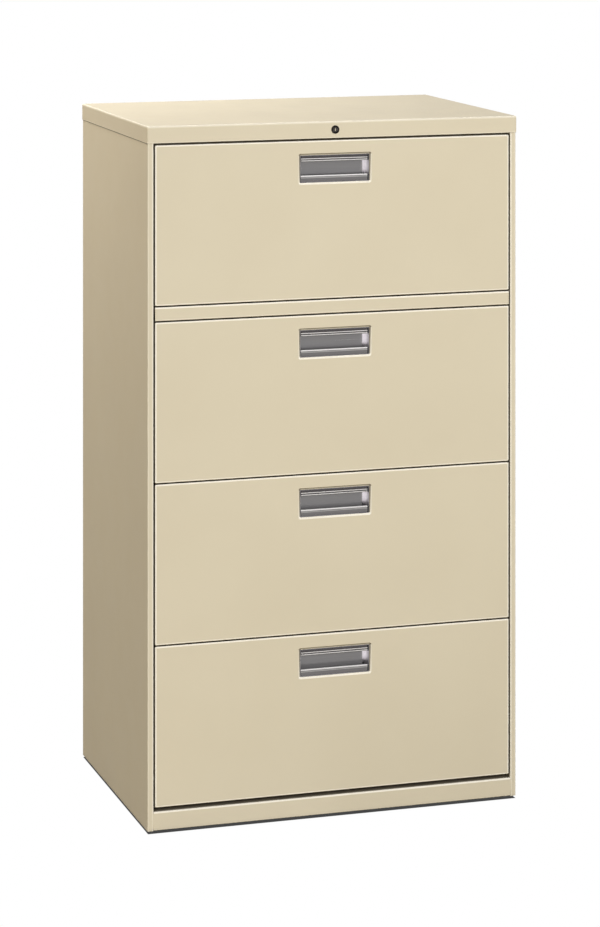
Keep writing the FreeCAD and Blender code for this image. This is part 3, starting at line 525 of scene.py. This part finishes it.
def rimProfile():
    # from the face over the rim's wall and ledge into the opening: (growth, depth, painted highlight)
    rim = front["rim"]
    depth = front["rimDepth"]
    wall = front["rimWall"]
    return [
        (0.9 * mm, 0, 0), (0.3 * mm, 0, 1), (0.05 * mm, 0.1 * mm, 1), (-0.15 * mm, 0.35 * mm, 1),
        (-wall + 0.2 * mm, depth - 0.3 * mm, 0), (-wall, depth - 0.07 * mm, 0),
        (-wall - 0.25 * mm, depth, 0), (-rim + 0.7 * mm, depth, 0),
        (-rim + 0.3 * mm, depth + 0.1 * mm, 1), (-rim + 0.05 * mm, depth + 0.35 * mm, 1),
        (-rim, depth + 0.8 * mm, 0),
    ]


def drawerFront(number):
    node = "drawer_%d_front" % number
    low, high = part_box(node)
    middle = (low + high) / 2
    halfWidth = (high.x - low.x) / 2
    halfHeight = (high.z - low.z) / 2
    edge = front["edgeRadius"]
    shape, layer, paintedShade = paintedLightShape()
    profile = panProfile(low.y, high.y)
    loops = []
    for inset, y, highlight in profile:
        radius = max(front["cornerRadius"] - inset, 0.3 * mm)
        flat = roundedLoop(halfWidth - inset, halfHeight - inset, radius)
        loops.append([(middle.x + u, y, middle.z + v) for u, v in flat])
    outside = ringsOf(shape, loops, [highlight for inset, y, highlight in profile], layer)
    # painted shade just behind the edge, and along the lower rolled edge
    backOfEdge, *rolledEdge = outside[2:8]
    for vert in backOfEdge:
        vert[paintedShade] = front["edgeShade"]
    for row in rolledEdge:
        for vert in row:
            if vert.co.z < low.z + edge and abs(vert.co.x - middle.x) < halfWidth - edge * 2:
                vert[paintedShade] = front["edgeShade"]

    centre = pullMiddle(number)
    holeSide = front["pullWidth"] / 2
    holeTop = front["pullHeight"] / 2
    profile = rimProfile()
    loops = []
    for grow, depth, highlight in profile:
        radius = max(front["pullCorner"] + grow * 0.6, 0.5 * mm)
        flat = roundedLoop(holeSide + grow, holeTop + grow, radius)
        loops.append([(u, low.y + depth, centre + v) for u, v in flat])
    inside = ringsOf(shape, loops, [highlight for grow, depth, highlight in profile], layer)
    edgeToLedge = inside[1:7]
    wallToOpening = inside[4:]
    # painted shade under the rim's upper edge and in its sides, and a painted highlight on its lower edge
    for row in edgeToLedge:
        for vert in row:
            if vert.co.z > centre + holeTop - front["upperShadeBand"]:
                vert[paintedShade] = front["rimShade"]
                vert[layer] = 0
    for row in wallToOpening:
        for vert in row:
            if vert.co.z < centre - holeTop + front["cornerBand"]:
                vert[layer] = 1
            elif abs(vert.co.x) > holeSide - front["cornerBand"]:
                vert[paintedShade] = front["rimSideShade"]
                vert[layer] = 0
    fillBetween(shape, outside[-1], inside[0])
    outwards(shape)
    if sum(face.normal.y * face.calc_area() for face in shape.faces) > 0:
        bmesh.ops.reverse_faces(shape, faces=shape.faces)
    piece = addPiece("front%d" % number, shape, enamel, "drawer_%d" % number, 50)
    thicken(piece, front["sheet"])
    settle(piece, 50)
    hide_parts(node)


for number in drawers:
    drawerFront(number)
print("drawer fronts made")


# Pulls: an extruded channel with a beaded and ribbed lip above and below its mouth
pull = {
    "left": -69.6 * mm,         # it sits against the opening's left end
    "right": 68.2 * mm,
    "halfHeight": 26.6 * mm,
    "wall": 1.6 * mm,
    "lipBack": 3 * mm,          # behind the drawer's face
    "depth": 21 * mm,
    "topLip": 13 * mm,
    "bottomLip": 13.9 * mm,
    "bead": 2.2 * mm,           # radius
    "notch": 3.8 * mm,          # the web is cut back at the right end, behind the lips
    "lipDepth": 5 * mm,
    # painted shade on the lips' faces, the upper one under the rim's ledge
    "upperLipShade": 0.75,
    "lowerLipShade": 0.3,
    "lowerBeadHighlight": 0.8,          # painted highlight on the lower lip's bead
    "ribPitch": 3.9 * mm,
    "ribShort": 0.3 * mm,       # the ribs end before the lips do
    "ribSunk": 0.2 * mm,
    "ribProud": 0.02 * mm,      # of the lip along their feet
    "ribFoot": 0.8,             # painted shade there
}
# each rib's last value is the share of painted highlight on its crown
ribs = {
    "upper": {"way": 1, "count": 2, "first": 2.2 * mm, "wide": 1.9 * mm, "rise": 0.6 * mm, "highlit": 0.8},
    "lower": {"way": -1, "count": 1, "first": 4.6 * mm, "wide": 1.9 * mm, "rise": 0.3 * mm, "highlit": 0.3},
}
# black strips that stand in for the shade at the lips' ends
lipShadeStrips = {
    "recess": 0.4 * mm,         # behind the lips' faces
    "depth": 1.2 * mm,
    "bulge": 0.4,               # share of half the width
    "trim": 0.3 * mm,           # rounding at the ends
    "left": (-1.0 * mm, 1.1 * mm),      # place beside the lips' end, and half the width
    "right": (1.7 * mm, 1.75 * mm),
}


def lipFace(number):
    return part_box("drawer_%d_front" % number)[0].y + pull["lipBack"]


def lipEdges():
    # where the slot between the lips ends above and below
    return pull["halfHeight"] - pull["topLip"], pull["bottomLip"] - pull["halfHeight"]


def lipBead(lip, edge, way):
    # half-round bead on a lip's free edge, from its outer to its inner side
    bead = pull["bead"]
    spots = []
    for i in range(9):
        angle = math.pi * i / 8
        spots.append((lip + bead - bead * math.cos(angle), edge - way * bead * (1 - math.sin(angle))))
    return spots


def pullSide(lip):
    # the channel as seen from its left end: (y, height above its middle)
    back = lip + pull["depth"]
    half = pull["halfHeight"]
    wall = pull["wall"]
    bead = pull["bead"]
    inner = half - wall
    slotTop, slotBottom = lipEdges()
    return [
        (lip, -half), (back, -half), (back, half), (lip, half),
        *lipBead(lip, slotTop, -1),
        (lip + wall, slotTop + 3 * bead), (lip + wall, inner), (back - wall, inner),
        (back - wall, -inner), (lip + wall, -inner), (lip + wall, slotBottom - 3 * bead),
        *lipBead(lip, slotBottom, 1)[::-1],
        (lip, slotBottom - bead * 1.3),
    ]


def pullChannel(number):
    middle = pullMiddle(number)
    lip = lipFace(number)
    bead = pull["bead"]
    slotBottom = lipEdges()[1]
    side = pullSide(lip)
    loops = []
    for x, cut in ((pull["left"], 0), (pull["right"], pull["notch"])):
        loops.append([(x - (cut if y > lip + pull["lipDepth"] else 0), y, middle + z) for y, z in side])
    shape, crown, paintedShade = paintedLightShape()
    for row in ringsOf(shape, loops):
        for vert, (y, z) in zip(row, side):
            # painted shade on the lips' faces, and a painted highlight on the lower bead
            if y < lip + 0.1 * mm:
                vert[paintedShade] = pull["upperLipShade"] if z > 0 else pull["lowerLipShade"]
            if y < lip + bead * 1.2 and slotBottom - bead * 1.1 < z < 0:
                vert[crown] = pull["lowerBeadHighlight"]
                vert[paintedShade] = 0
        fillBetween(shape, row)
    outwards(shape)
    piece = addPiece("pull%d" % number, shape, aluminium, "drawer_%d" % number, 40)
    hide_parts("drawer_%d_pull" % number)


def pullRibs(number, name, edge):
    # crowned bars side by side on a lip's face, with a painted highlight on top and painted shade at the
    # foot
    rib = ribs[name]
    half = rib["wide"] / 2
    lip = lipFace(number)
    centre = pullMiddle(number) + edge + rib["way"] * rib["first"]
    outline = [(pull["ribSunk"], -half)]
    for i in range(9):
        angle = math.pi * i / 8
        outline.append((-rib["rise"] * math.sin(angle) - pull["ribProud"], -half * math.cos(angle)))
    outline.append((pull["ribSunk"], half))
    shape, crown, paintedShade = paintedLightShape()
    loops = [[(x, lip + y, centre + z) for y, z in outline]
             for x in (pull["left"] + pull["ribShort"], pull["right"] - pull["ribShort"])]
    for row in closedRings(shape, loops):
        for i, vert in enumerate(row[1:-1]):
            vert[crown] = rib["highlit"] if 1 < i < 7 else 0
            vert[paintedShade] = 0 if 0 < i < 8 else pull["ribFoot"]
    outwards(shape)
    inRow("pull%d%sRibs" % (number, name.capitalize()), shape, rib["count"],
          (0, 0, rib["way"] * pull["ribPitch"]), aluminium, "drawer_%d" % number, 60)


def lipEndShadeStrips(number, name, low, high):
    # black D-shaped strips between a lip's ends and the rim: they stand in for the shade in that gap
    middle = pullMiddle(number)
    back = lipFace(number) + lipShadeStrips["recess"]
    trim = lipShadeStrips["trim"]
    shape = bmesh.new()
    for end in ("left", "right"):
        beside, full = lipShadeStrips[end]
        x = pull[end] + beside
        loops = []
        for z, thinner in roundedEnds(low, high, 0, trim, trim):
            wide = full - thinner
            outline = [(-wide, lipShadeStrips["depth"]), (wide, lipShadeStrips["depth"])]
            for i in range(9):
                angle = math.pi * i / 8
                outline.append((wide * math.cos(angle), -wide * lipShadeStrips["bulge"] * math.sin(angle)))
            loops.append([(x + u, back + v, middle + z) for u, v in outline])
        closedRings(shape, loops)
    outwards(shape)
    addPiece("seals%d%s" % (number, name.capitalize()), shape, shadeStripBlack, "drawer_%d" % number, 40)


for number in drawers:
    slotTop, slotBottom = lipEdges()
    pullChannel(number)
    pullRibs(number, "upper", slotTop)
    pullRibs(number, "lower", slotBottom)
    lipEndShadeStrips(number, "upper", slotTop + lipShadeStrips["trim"], pull["halfHeight"])
    lipEndShadeStrips(number, "lower", -pull["halfHeight"], slotBottom - lipShadeStrips["trim"])
print("pulls made")


# Folded sheets: a path seen from above or from the side, bent to a radius and drawn out straight
fold = {
    "bend": 1.2 * mm,           # inner radius
    "sheet": 0.9 * mm,
    "steps": 6,
    "highlit": 0.6 * mm,           # how far beyond a fold the painted highlight is full
    "faded": 1.2 * mm,          # and where it ends
}


def leftOf(way):
    return Vector((-way.y, way.x))


def foldLine(path, highlight):
    # the path with rounded corners: each spot with the way to the sheet's other side and its painted
    # highlight
    line = []
    for i, point in enumerate(path):
        here = Vector(point)
        before = (here - Vector(path[i - 1])).normalized() if i else None
        after = (Vector(path[i + 1]) - here).normalized() if i + 1 < len(path) else None
        if before is None or after is None:
            line.append((here, leftOf(after or before), 0))
            continue
        turn = math.atan2(before.x * after.y - before.y * after.x, before.dot(after))
        sign = math.copysign(1, turn)
        radius = fold["bend"] + (fold["sheet"] if turn > 0 else 0)
        reach = radius * math.tan(abs(turn) / 2)
        entry = here - before * reach
        leave = here + after * reach
        normal = leftOf(before)
        centre = entry + normal * radius * sign
        share = highlight[i - 1]
        line.append((entry - before * fold["faded"], normal, 0))
        line.append((entry - before * fold["highlit"], normal, share))
        for k in range(fold["steps"] + 1):
            angle = turn * k / fold["steps"]
            facing = Vector((
                normal.x * math.cos(angle) - normal.y * math.sin(angle),
                normal.x * math.sin(angle) + normal.y * math.cos(angle)))
            line.append((centre - facing * radius * sign, facing, share))
        line.append((leave + after * fold["highlit"], leftOf(after), share))
        line.append((leave + after * fold["faded"], leftOf(after), 0))
    return line


def foldedSheet(name, path, spot, start, end, highlight, startShade=0):
    # the sheet lies to the left of the path; each fold has its given share of painted highlight, and
    # painted shade as much as given lies at the path's start and thins out towards the first fold
    line = foldLine(path, highlight)
    sheet = fold["sheet"]
    shape, layer, paintedShade = paintedLightShape()
    rows = []
    for along in (start, end):
        near = [shape.verts.new(spot(p.x, p.y, along)) for p, n, w in line]
        far = [shape.verts.new(spot(p.x + n.x * sheet, p.y + n.y * sheet, along)) for p, n, w in line]
        for vert, (p, n, w) in zip(near, line):
            vert[layer] = w
        near[0][paintedShade] = startShade
        rows.append((near, far))
    (nearA, farA), (nearB, farB) = rows
    for i in range(len(line) - 1):
        shape.faces.new((nearA[i], nearA[i + 1], nearB[i + 1], nearB[i]))
        shape.faces.new((farA[i], farA[i + 1], farB[i + 1], farB[i]))
        for near, far in rows:
            shape.faces.new((near[i], near[i + 1], far[i + 1], far[i]))
    for i in (0, -1):
        shape.faces.new((nearA[i], nearB[i], farB[i], farA[i]))
    outwards(shape)
    return addPiece(name, shape, enamel, "root", 30)


case = {
    "post": 12 * mm,            # narrow face beside the drawers
    "return": 20 * mm,          # how far the posts and the plinth's foot turn in
    "flange": 15 * mm,
    "railReturn": 25 * mm,
    "fillerReturn": 15 * mm,
    "sideHighlight": (0.6, 0.25, 0.3),       # painted highlight, fold by fold, here and in the next two lines
    "railHighlight": (1.0, 0.2),
    "fillerHighlight": (1.0, 0.5),
}
# each filler ear's width, its place behind the face and within the end, and its gap above and below
ear = {"width": 7.3 * mm, "behind": 4 * mm, "within": 1.7 * mm, "gap": 1.2 * mm}
# each seam's rounded ends, and its section in millimetres: (out from the rail's end, back from its face)
seam = {
    "trim": 2.2 * mm,
    "full": 3 * mm,
    "sunk": 0.5 * mm,
    "section": [(-0.3, 0.9), (-0.3, 0.02), (0.2, -0.03), (0.7, -0.04),
                (1.2, -0.04), (1.7, -0.03), (2.3, 0.02), (2.3, 0.9)],
}


def sidePanel(side, way):
    low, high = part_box(side + "_side_panel")
    outer = max(abs(low.x), abs(high.x))
    inner = outer - case["post"]
    plan = [(inner, low.y + case["return"]), (inner, low.y), (outer, low.y), (outer, high.y),
            (outer - case["flange"], high.y)]
    piece = foldedSheet(side + "Side", plan, lambda u, v, w: (way * u, v, w),
                        low.z, high.z, case["sideHighlight"])
    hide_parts(side + "_side_panel")


sidePanel("right", 1)
sidePanel("left", -1)


def plinthRail():
    low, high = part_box("base_rail")
    side = [(low.y + case["railReturn"], high.z), (low.y, high.z), (low.y, low.z),
            (low.y + case["return"], low.z)]
    piece = foldedSheet("plinthRail", side, lambda u, v, w: (w, u, v),
                        low.x, high.x, case["railHighlight"], startShade=1)
    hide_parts("base_rail")
    # the seams between rail and posts are welded and dressed flush, with a slight crown
    shape = bmesh.new()
    for way in (-1, 1):
        loops = []
        for z, sunk in roundedEnds(low.z, high.z, seam["trim"], seam["full"], seam["sunk"]):
            loops.append([(way * (high.x + out * mm), low.y + back * mm + sunk, z)
                          for out, back in seam["section"]])
        closedRings(shape, loops)
    outwards(shape)
    addPiece("plinthSeams", shape, enamel, "root", 40)


plinthRail()


def fillerStrip():
    low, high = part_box("filler_rail")
    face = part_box("drawer_1_front")[0].y
    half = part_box("drawer_1_front")[1].x
    back = face + case["fillerReturn"]
    side = [(back, high.z), (face, high.z), (face, low.z), (back, low.z)]
    piece = foldedSheet("fillerStrip", side, lambda u, v, w: (w, u, v),
                        -half, half, case["fillerHighlight"], startShade=1)
    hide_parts("filler_rail")
    # an ear behind each end reaches back to the upright and is hooked over it
    outer = half - ear["within"]
    plan = [(outer - ear["width"], face + ear["behind"]), (outer, face + ear["behind"]), (outer, high.y)]
    for name, way in (("Left", -1), ("Right", 1)):
        foldedSheet("fillerEar" + name, plan, lambda u, v, w: (way * u, v, w),
                    low.z + ear["gap"], high.z - ear["gap"], (0,))


fillerStrip()
print("case made")


# Top cap: a pressed pan with rolled edges and a hole for the lock
cap = {
    "edgeRadius": 2.2 * mm,
    "sheet": 1.0 * mm,
    "hem": 0.7 * mm,            # rounding of the skirt's lower edge
    # painted highlight round the skirt's hem, below, on and above its turn
    "hemHighlight": (0.5, 0.6, 0.4),
    "highlight": 0.5,                # painted highlight of the upper edge
    "brace": 4 * mm,
    "lockHole": 7.1 * mm,
    "punch": 10 * mm,           # the punch's length, through the front sheet alone
}
# dark strips that show by less than a millimetre under the cap's skirt: painted shade along its lower edge
capShadeStrip = {
    "trim": 1.5 * mm,           # from the side panel's front and rear
    "full": 3 * mm,
    "proud": 0.8 * mm,
    "thinner": 0.25 * mm,       # at the ends
    "inside": 0.3 * mm,
    "above": 2 * mm,
    "lip": 0.3 * mm,
    "drop": 0.8 * mm,
}
lockZ = (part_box("lock_housing")[0].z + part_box("lock_housing")[1].z) / 2


def topCap():
    low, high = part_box("top_cap")
    middle = (low + high) / 2
    shape, layer = paintedLightShape()[:2]
    edge = cap["edgeRadius"]
    hem = cap["hem"]
    lower, turn, upper = cap["hemHighlight"]
    profile = [(hem, low.z, 0), (hem * 0.3, low.z + hem * 0.3, lower), (0, low.z + hem, turn),
               (0, low.z + hem * 2.2, upper), (0, low.z + hem * 3, 0), (0, high.z - edge * 2, 0)]
    for i in range(6):
        angle = math.radians(18 * i)
        profile.append((edge * (1 - math.cos(angle)), high.z - edge * (1 - math.sin(angle)), cap["highlight"]))
    profile.append((edge * 1.4, high.z, 0))
    loops = []
    for inset, z, highlight in profile:
        flat = roundedLoop(
            (high.x - low.x) / 2 - inset, (high.y - low.y) / 2 - inset, max(edge - inset, 0.3 * mm),
            brace=cap["brace"])
        loops.append([(middle.x + u, middle.y + v, z) for u, v in flat])
    rows = ringsOf(shape, loops, [highlight for inset, z, highlight in profile], layer)
    shape.faces.new(rows[-1])
    outwards(shape)
    if shape.faces[-1].normal.z < 0:
        bmesh.ops.reverse_faces(shape, faces=shape.faces)
    piece = addPiece("topCap", shape, enamel, "root", 50)
    thicken(piece, cap["sheet"])
    punch = bmesh.new()
    bmesh.ops.create_cone(punch, cap_ends=True, segments=48, radius1=cap["lockHole"],
                          radius2=cap["lockHole"], depth=cap["punch"])
    for vert in punch.verts:
        vert.co = Vector((vert.co.x, low.y + vert.co.z, lockZ + vert.co.y))
    carve(piece, punch, 50)
    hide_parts("top_cap")


topCap()


def capShadeStrips():
    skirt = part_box("top_cap")[0].z
    low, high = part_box("right_side_panel")
    inside = high.x - capShadeStrip["inside"]
    shape = bmesh.new()
    for way in (-1, 1):
        loops = []
        for y, thinner in roundedEnds(low.y, high.y, capShadeStrip["trim"], capShadeStrip["full"], capShadeStrip["thinner"]):
            loop = [(way * inside, y, skirt + capShadeStrip["above"])]
            for i in range(7):
                angle = math.pi / 2 * i / 6
                out = (capShadeStrip["proud"] - thinner) * math.cos(angle)
                below = (capShadeStrip["lip"] + capShadeStrip["drop"]) * math.sin(angle)
                loop.append((way * (high.x + out), y, skirt + capShadeStrip["lip"] - below))
            loop.append((way * inside, y, skirt - capShadeStrip["drop"]))
            loops.append(loop)
        closedRings(shape, loops)
    outwards(shape)
    addPiece("capShadeStrips", shape, oliveShadeStripFinish, "root", 40)


capShadeStrips()
print("cap made")


# Turned pieces: a profile of (radius, distance) in millimetres, turned about a line along Y or Z
def turned(profile, centre, upright, steps=40):
    shape = bmesh.new()
    rows = []
    for radius, along in profile:
        row = []
        for i in range(1 if radius == 0 else steps):
            angle = 2 * math.pi * i / steps
            u = radius * mm * math.cos(angle)
            v = radius * mm * math.sin(angle)
            spot = (u, v, along * mm) if upright else (u, along * mm, v)
            row.append(shape.verts.new(Vector(centre) + Vector(spot)))
        rows.append(row)
    for one, two in zip(rows, rows[1:] + rows[:1]):
        if len(one) == 1 and len(two) == 1:
            continue
        for i in range(steps):
            j = (i + 1) % steps
            ring = [one[i % len(one)], one[j % len(one)], two[j % len(two)], two[i % len(two)]]
            shape.faces.new(list(dict.fromkeys(ring)))
    outwards(shape)
    return shape


# Lock: the housing's face ring and threaded barrel, and the plug's dished face, in millimetres
lock = {
    "ring": 8.2,
    "ringDepth": 1.0,
    "bore": 5.5,
    "barrel": 6.6,
    "thread": 0.4,
    "pitch": 1.25,
    "turns": 17,
    "threadStart": 2.6,
    "dish": [(5.3, 0.55), (5.35, -0.1), (5.1, -0.33), (4.3, -0.33), (3.9, -0.25), (3.0, 0.07),
             (1.8, 0.27), (0, 0.35), (0, 0.55)],
    "keySlot": (1.6, 6.0, 6.0),     # width, depth with half of it in front, and height
}


def lockHousing():
    low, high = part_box("lock_housing")
    length = (high.y - low.y) / mm
    ring = lock["ring"]
    bore = lock["bore"]
    back = lock["ringDepth"]
    profile = [
        (bore, length), (bore, 0.35), (bore + 0.3, 0), (ring - 0.9, 0), (ring - 0.45, 0.12),
        (ring - 0.12, 0.42), (ring, 0.75), (ring, back), (lock["barrel"], back), (lock["barrel"], length),
    ]
    shape = turned(profile, (0, low.y, lockZ), False)
    piece = addPiece("lockHousing", shape, nickel, "root", 40)
    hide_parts("lock_housing")
    foot = lock["barrel"] - 0.1
    crest = foot + lock["thread"]
    ridge = [(foot, 0), (foot + 0.1, 0.1), (crest, 0.55), (crest, 0.75), (foot, 1.2)]
    shape = turned(ridge, (0, low.y + lock["threadStart"] * mm, lockZ), False)
    inRow("lockThread", shape, lock["turns"], (0, lock["pitch"] * mm, 0), nickel, "root",
          60)


lockHousing()


def plugFace():
    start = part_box("lock_core")[0].y
    shape = turned(lock["dish"], (0, start, lockZ), False)
    piece = addPiece("plugFace", shape, plugPlate, "lock_plug", 50)
    wide, deep, tall = lock["keySlot"]
    notch = bmesh.new()
    bmesh.ops.create_cube(notch, size=1.0)
    for vert in notch.verts:
        x, y, z = vert.co
        vert.co = Vector((x * wide * mm, start + y * deep * mm, lockZ + z * tall * mm))
    carve(piece, notch, 50)


plugFace()
print("lock made")


# Glides: a moulded foot on a threaded stem, in millimetres
glide = {
    "pad": 16.0,
    "padHeight": 4.5,
    "stem": 4.6,
    "length": 38.5,
    "chamfer": 0.8,
    "thread": 0.4,
    "pitch": 1.5,
    "turns": 20,
    "threadStart": 2.0,         # above the pad
}


def levellingGlide(place):
    node = "glide_" + place
    low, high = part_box(node)
    centre = ((low.x + high.x) / 2, (low.y + high.y) / 2, low.z)
    pad = glide["pad"]
    tall = glide["padHeight"]
    stem = glide["stem"]
    top = glide["length"]
    chamfer = glide["chamfer"]
    profile = [
        (0, 0), (pad - 1.2, 0), (pad - 0.5, 0.15), (pad - 0.1, 0.6), (pad, 1.2), (pad - 0.2, 2.2),
        (pad - 1.0, 3.2), (pad - 3.0, 3.8), (stem + 4.0, tall - 0.3), (stem + 2.5, tall), (0, tall),
    ]
    foot = addPiece(node + "Foot", turned(profile, centre, True), nylon, node, 40)
    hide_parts(node)
    sunk = tall - 0.5
    profile = [(0, sunk), (stem, sunk), (stem, top - chamfer), (stem - chamfer, top), (0, top)]
    addPiece(node + "Stem", turned(profile, centre, True), zinc, node, 40)
    start = tall + glide["threadStart"]
    crest = stem + glide["thread"]
    ridge = [(stem - 0.1, start), (crest, start + 0.6), (crest, start + 0.8), (stem - 0.1, start + 1.4)]
    inRow(node + "Thread", turned(ridge, centre, True, 32), glide["turns"], (0, 0, glide["pitch"] * mm),
          zinc, node, 60)


for place in ("front_left", "front_right", "rear_left", "rear_right"):
    levellingGlide(place)
print("glides made")


# Spot welds down the rear flanges: shallow dimples with a raised ring, in millimetres
weld = {"radius": 3.2, "ring": 0.22, "inset": 8.0, "pitch": 58, "start": 60, "count": 22}


def spotWelds(name, way):
    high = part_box("right_side_panel")[1]
    radius = weld["radius"]
    profile = [(0, 0.06), (radius - 1.2, 0.08), (radius - 0.5, weld["ring"]), (radius, 0.1),
               (radius + 0.3, -0.1), (0, -0.1)]
    centre = (way * (high.x - weld["inset"] * mm), high.y, weld["start"] * mm)
    inRow(name, turned(profile, centre, False, 20), weld["count"], (0, 0, weld["pitch"] * mm),
          enamel, "root", 40)


spotWelds("spotWeldsLeft", -1)
spotWelds("spotWeldsRight", 1)
print("welds made")


# Floor and light. The camera sees plain white all round; shiny pieces see a dim room that is
# bright only in front on the left.
room = {
    "evenLight": 0.44,          # from all round
    "glossy": 0.28,             # what shiny pieces see of the room, and of its bright side
    "glossyBright": 1.1,
    "brightWay": (-0.45, -0.89, 0.0),
    "floorHalf": 12.0,          # metres from its middle to its edge
    "floorPale": "#A2987E",
    "floorDeep": "#A89E84",
    "fibre": 20 * mm,
    "underCase": 0.06,          # the floor's white left in the painted shadow under the case
    "caseInset": 2 * mm,        # how far the painted shadow stays within the case's outline
    "contact": 0.6 * mm,        # softness of the painted shadow's edge
}
# each softbox: place, what it faces, width and height, watts, colour, and if shiny pieces show it.
# The key hangs in front and shiny pieces don't show it, so that metal doesn't mirror it from straight
# ahead.
softboxes = {
    "keyBox": ((0.15, -4.4, 1.5), (0, 0, 0.7), (1.5, 1.3), 107.0, "#FFFFFF", False),
    "overBox": ((0.65, -1.1, 3.1), (0, 0, 1.0), (1.2, 1.1), 7.0, "#FFFFFF", True),
    "leftStrip": ((-2.6, -3.0, 1.6), (0, 0, 0.9), (0.5, 2.2), 0.5, "#FFFFFF", True),
    "sideBox": ((-2.4, 0.3, 1.9), (-0.3, 0, 0.9), (0.8, 0.8), 9.3, "#FFE4B4", True),
    "topBox": ((-0.8, 0.8, 2.8), (-0.1, 0, 1.3), (1.2, 1.2), 38.0, "#FFFCF8", True),
}


def roomSeen(tree, way):
    # how bright the room is along a level direction, and if it is seen straight or in a gloss
    toward = addNode(tree, "ShaderNodeVectorMath", {
        0: way, 1: room["brightWay"]}, operation="DOT_PRODUCT")
    glow = addNode(tree, "ShaderNodeMapRange", {
        "Value": toward.outputs["Value"], "From Min": 0.78, "From Max": 0.97,
        "To Min": room["glossy"], "To Max": room["glossyBright"]}, interpolation_type="SMOOTHSTEP")
    seen = addNode(tree, "ShaderNodeLightPath")
    shown = addNode(tree, "ShaderNodeMix", {
        0: seen.outputs["Is Glossy Ray"], "A": 1.0, "B": glow.outputs["Result"]}, data_type="FLOAT")
    straight = addNode(tree, "ShaderNodeMath", {
        0: seen.outputs["Is Camera Ray"], 1: seen.outputs["Is Glossy Ray"]}, operation="MAXIMUM")
    return shown.outputs[0], straight.outputs[0]


def floorPaper():
    finish, tree, shader, place = newFinish("floorPaper")
    fibre = addNode(tree, "ShaderNodeTexNoise", {
        "Vector": place, "Scale": 1 / room["fibre"], "Detail": 3.0})
    tone = addNode(tree, "ShaderNodeMix", {
        0: fibre.outputs["Fac"], "A": linear(room["floorPale"]), "B": linear(room["floorDeep"])},
        data_type="RGBA")
    level = addNode(tree, "ShaderNodeVectorMath", {0: place}, operation="NORMALIZE")
    shown, straight = roomSeen(tree, level.outputs["Vector"])
    paper = addNode(tree, "ShaderNodeMix", {
        0: straight, "A": tone.outputs["Result"], "B": (0, 0, 0, 1)}, data_type="RGBA")
    # painted shadow: the paper's white is masked dark within the case's outline
    axes = addNode(tree, "ShaderNodeSeparateXYZ", {"Vector": place})
    beyond = []
    for name, reach in (("X", cadBox[1][0]), ("Y", cadBox[1][1])):
        off = addNode(tree, "ShaderNodeMath", {0: axes.outputs[name]}, operation="ABSOLUTE")
        past = addNode(tree, "ShaderNodeMath", {
            0: off.outputs[0], 1: reach - room["caseInset"]}, operation="SUBTRACT")
        beyond.append(past.outputs[0])
    edge = addNode(tree, "ShaderNodeMath", {0: beyond[0], 1: beyond[1]}, operation="MAXIMUM")
    clear = addNode(tree, "ShaderNodeMapRange", {
        "Value": edge.outputs[0], "From Min": -room["contact"], "From Max": room["contact"],
        "To Min": room["underCase"], "To Max": 1.0})
    glow = addNode(tree, "ShaderNodeMath", {0: shown, 1: clear.outputs["Result"]}, operation="MULTIPLY")
    lift = addNode(tree, "ShaderNodeMath", {0: glow.outputs[0], 1: straight}, operation="MULTIPLY")
    feed(tree, shader, {
        "Base Color": paper.outputs["Result"], "Roughness": 0.9, "Specular IOR Level": 0.0,
        "Emission Color": (1, 1, 1, 1), "Emission Strength": lift.outputs[0]})
    # from below the paper is clear, so that the part's underside shows
    under = addNode(tree, "ShaderNodeNewGeometry").outputs["Backfacing"]
    clearPaper = addNode(tree, "ShaderNodeBsdfTransparent")
    either = addNode(tree, "ShaderNodeMixShader", {
        0: under, 1: shader.outputs["BSDF"], 2: clearPaper.outputs["BSDF"]})
    feed(tree, tree.nodes["Material Output"], {"Surface": either.outputs["Shader"]})
    return finish


def floorSheet():
    shape = bmesh.new()
    bmesh.ops.create_grid(shape, x_segments=1, y_segments=1, size=room["floorHalf"])
    mesh = bpy.data.meshes.new("floor")
    shape.to_mesh(mesh)
    shape.free()
    mesh.materials.append(floorPaper())
    putIn("floor", mesh)


floorSheet()


def skyAround():
    sky = bpy.data.worlds.new("sky")
    bpy.context.scene.world = sky
    sky.use_nodes = True
    tree = sky.node_tree
    tree.nodes.clear()
    shown, straight = roomSeen(tree, addNode(tree, "ShaderNodeTexCoord").outputs["Generated"])
    strength = addNode(tree, "ShaderNodeMix", {
        0: straight, "A": room["evenLight"], "B": shown}, data_type="FLOAT")
    air = addNode(tree, "ShaderNodeBackground", {"Color": (1, 1, 1, 1), "Strength": strength.outputs[0]})
    addNode(tree, "ShaderNodeOutputWorld", {"Surface": air.outputs["Background"]})


skyAround()


def softbox(name, place, aim, size, watts, hue, mirrored):
    lamp = bpy.data.lights.new(name, "AREA")
    lamp.shape = "RECTANGLE"
    lamp.size, lamp.size_y = size
    lamp.energy = watts
    lamp.color = linear(hue)[:3]
    holder = putIn(name, lamp)
    holder.location = place
    holder.visible_glossy = mirrored
    holder.rotation_euler = (Vector(place) - Vector(aim)).to_track_quat("Z", "Y").to_euler()


for name, settings in softboxes.items():
    softbox(name, *settings)
bpy.context.scene.view_settings.view_transform = "Standard"
print("stage set")
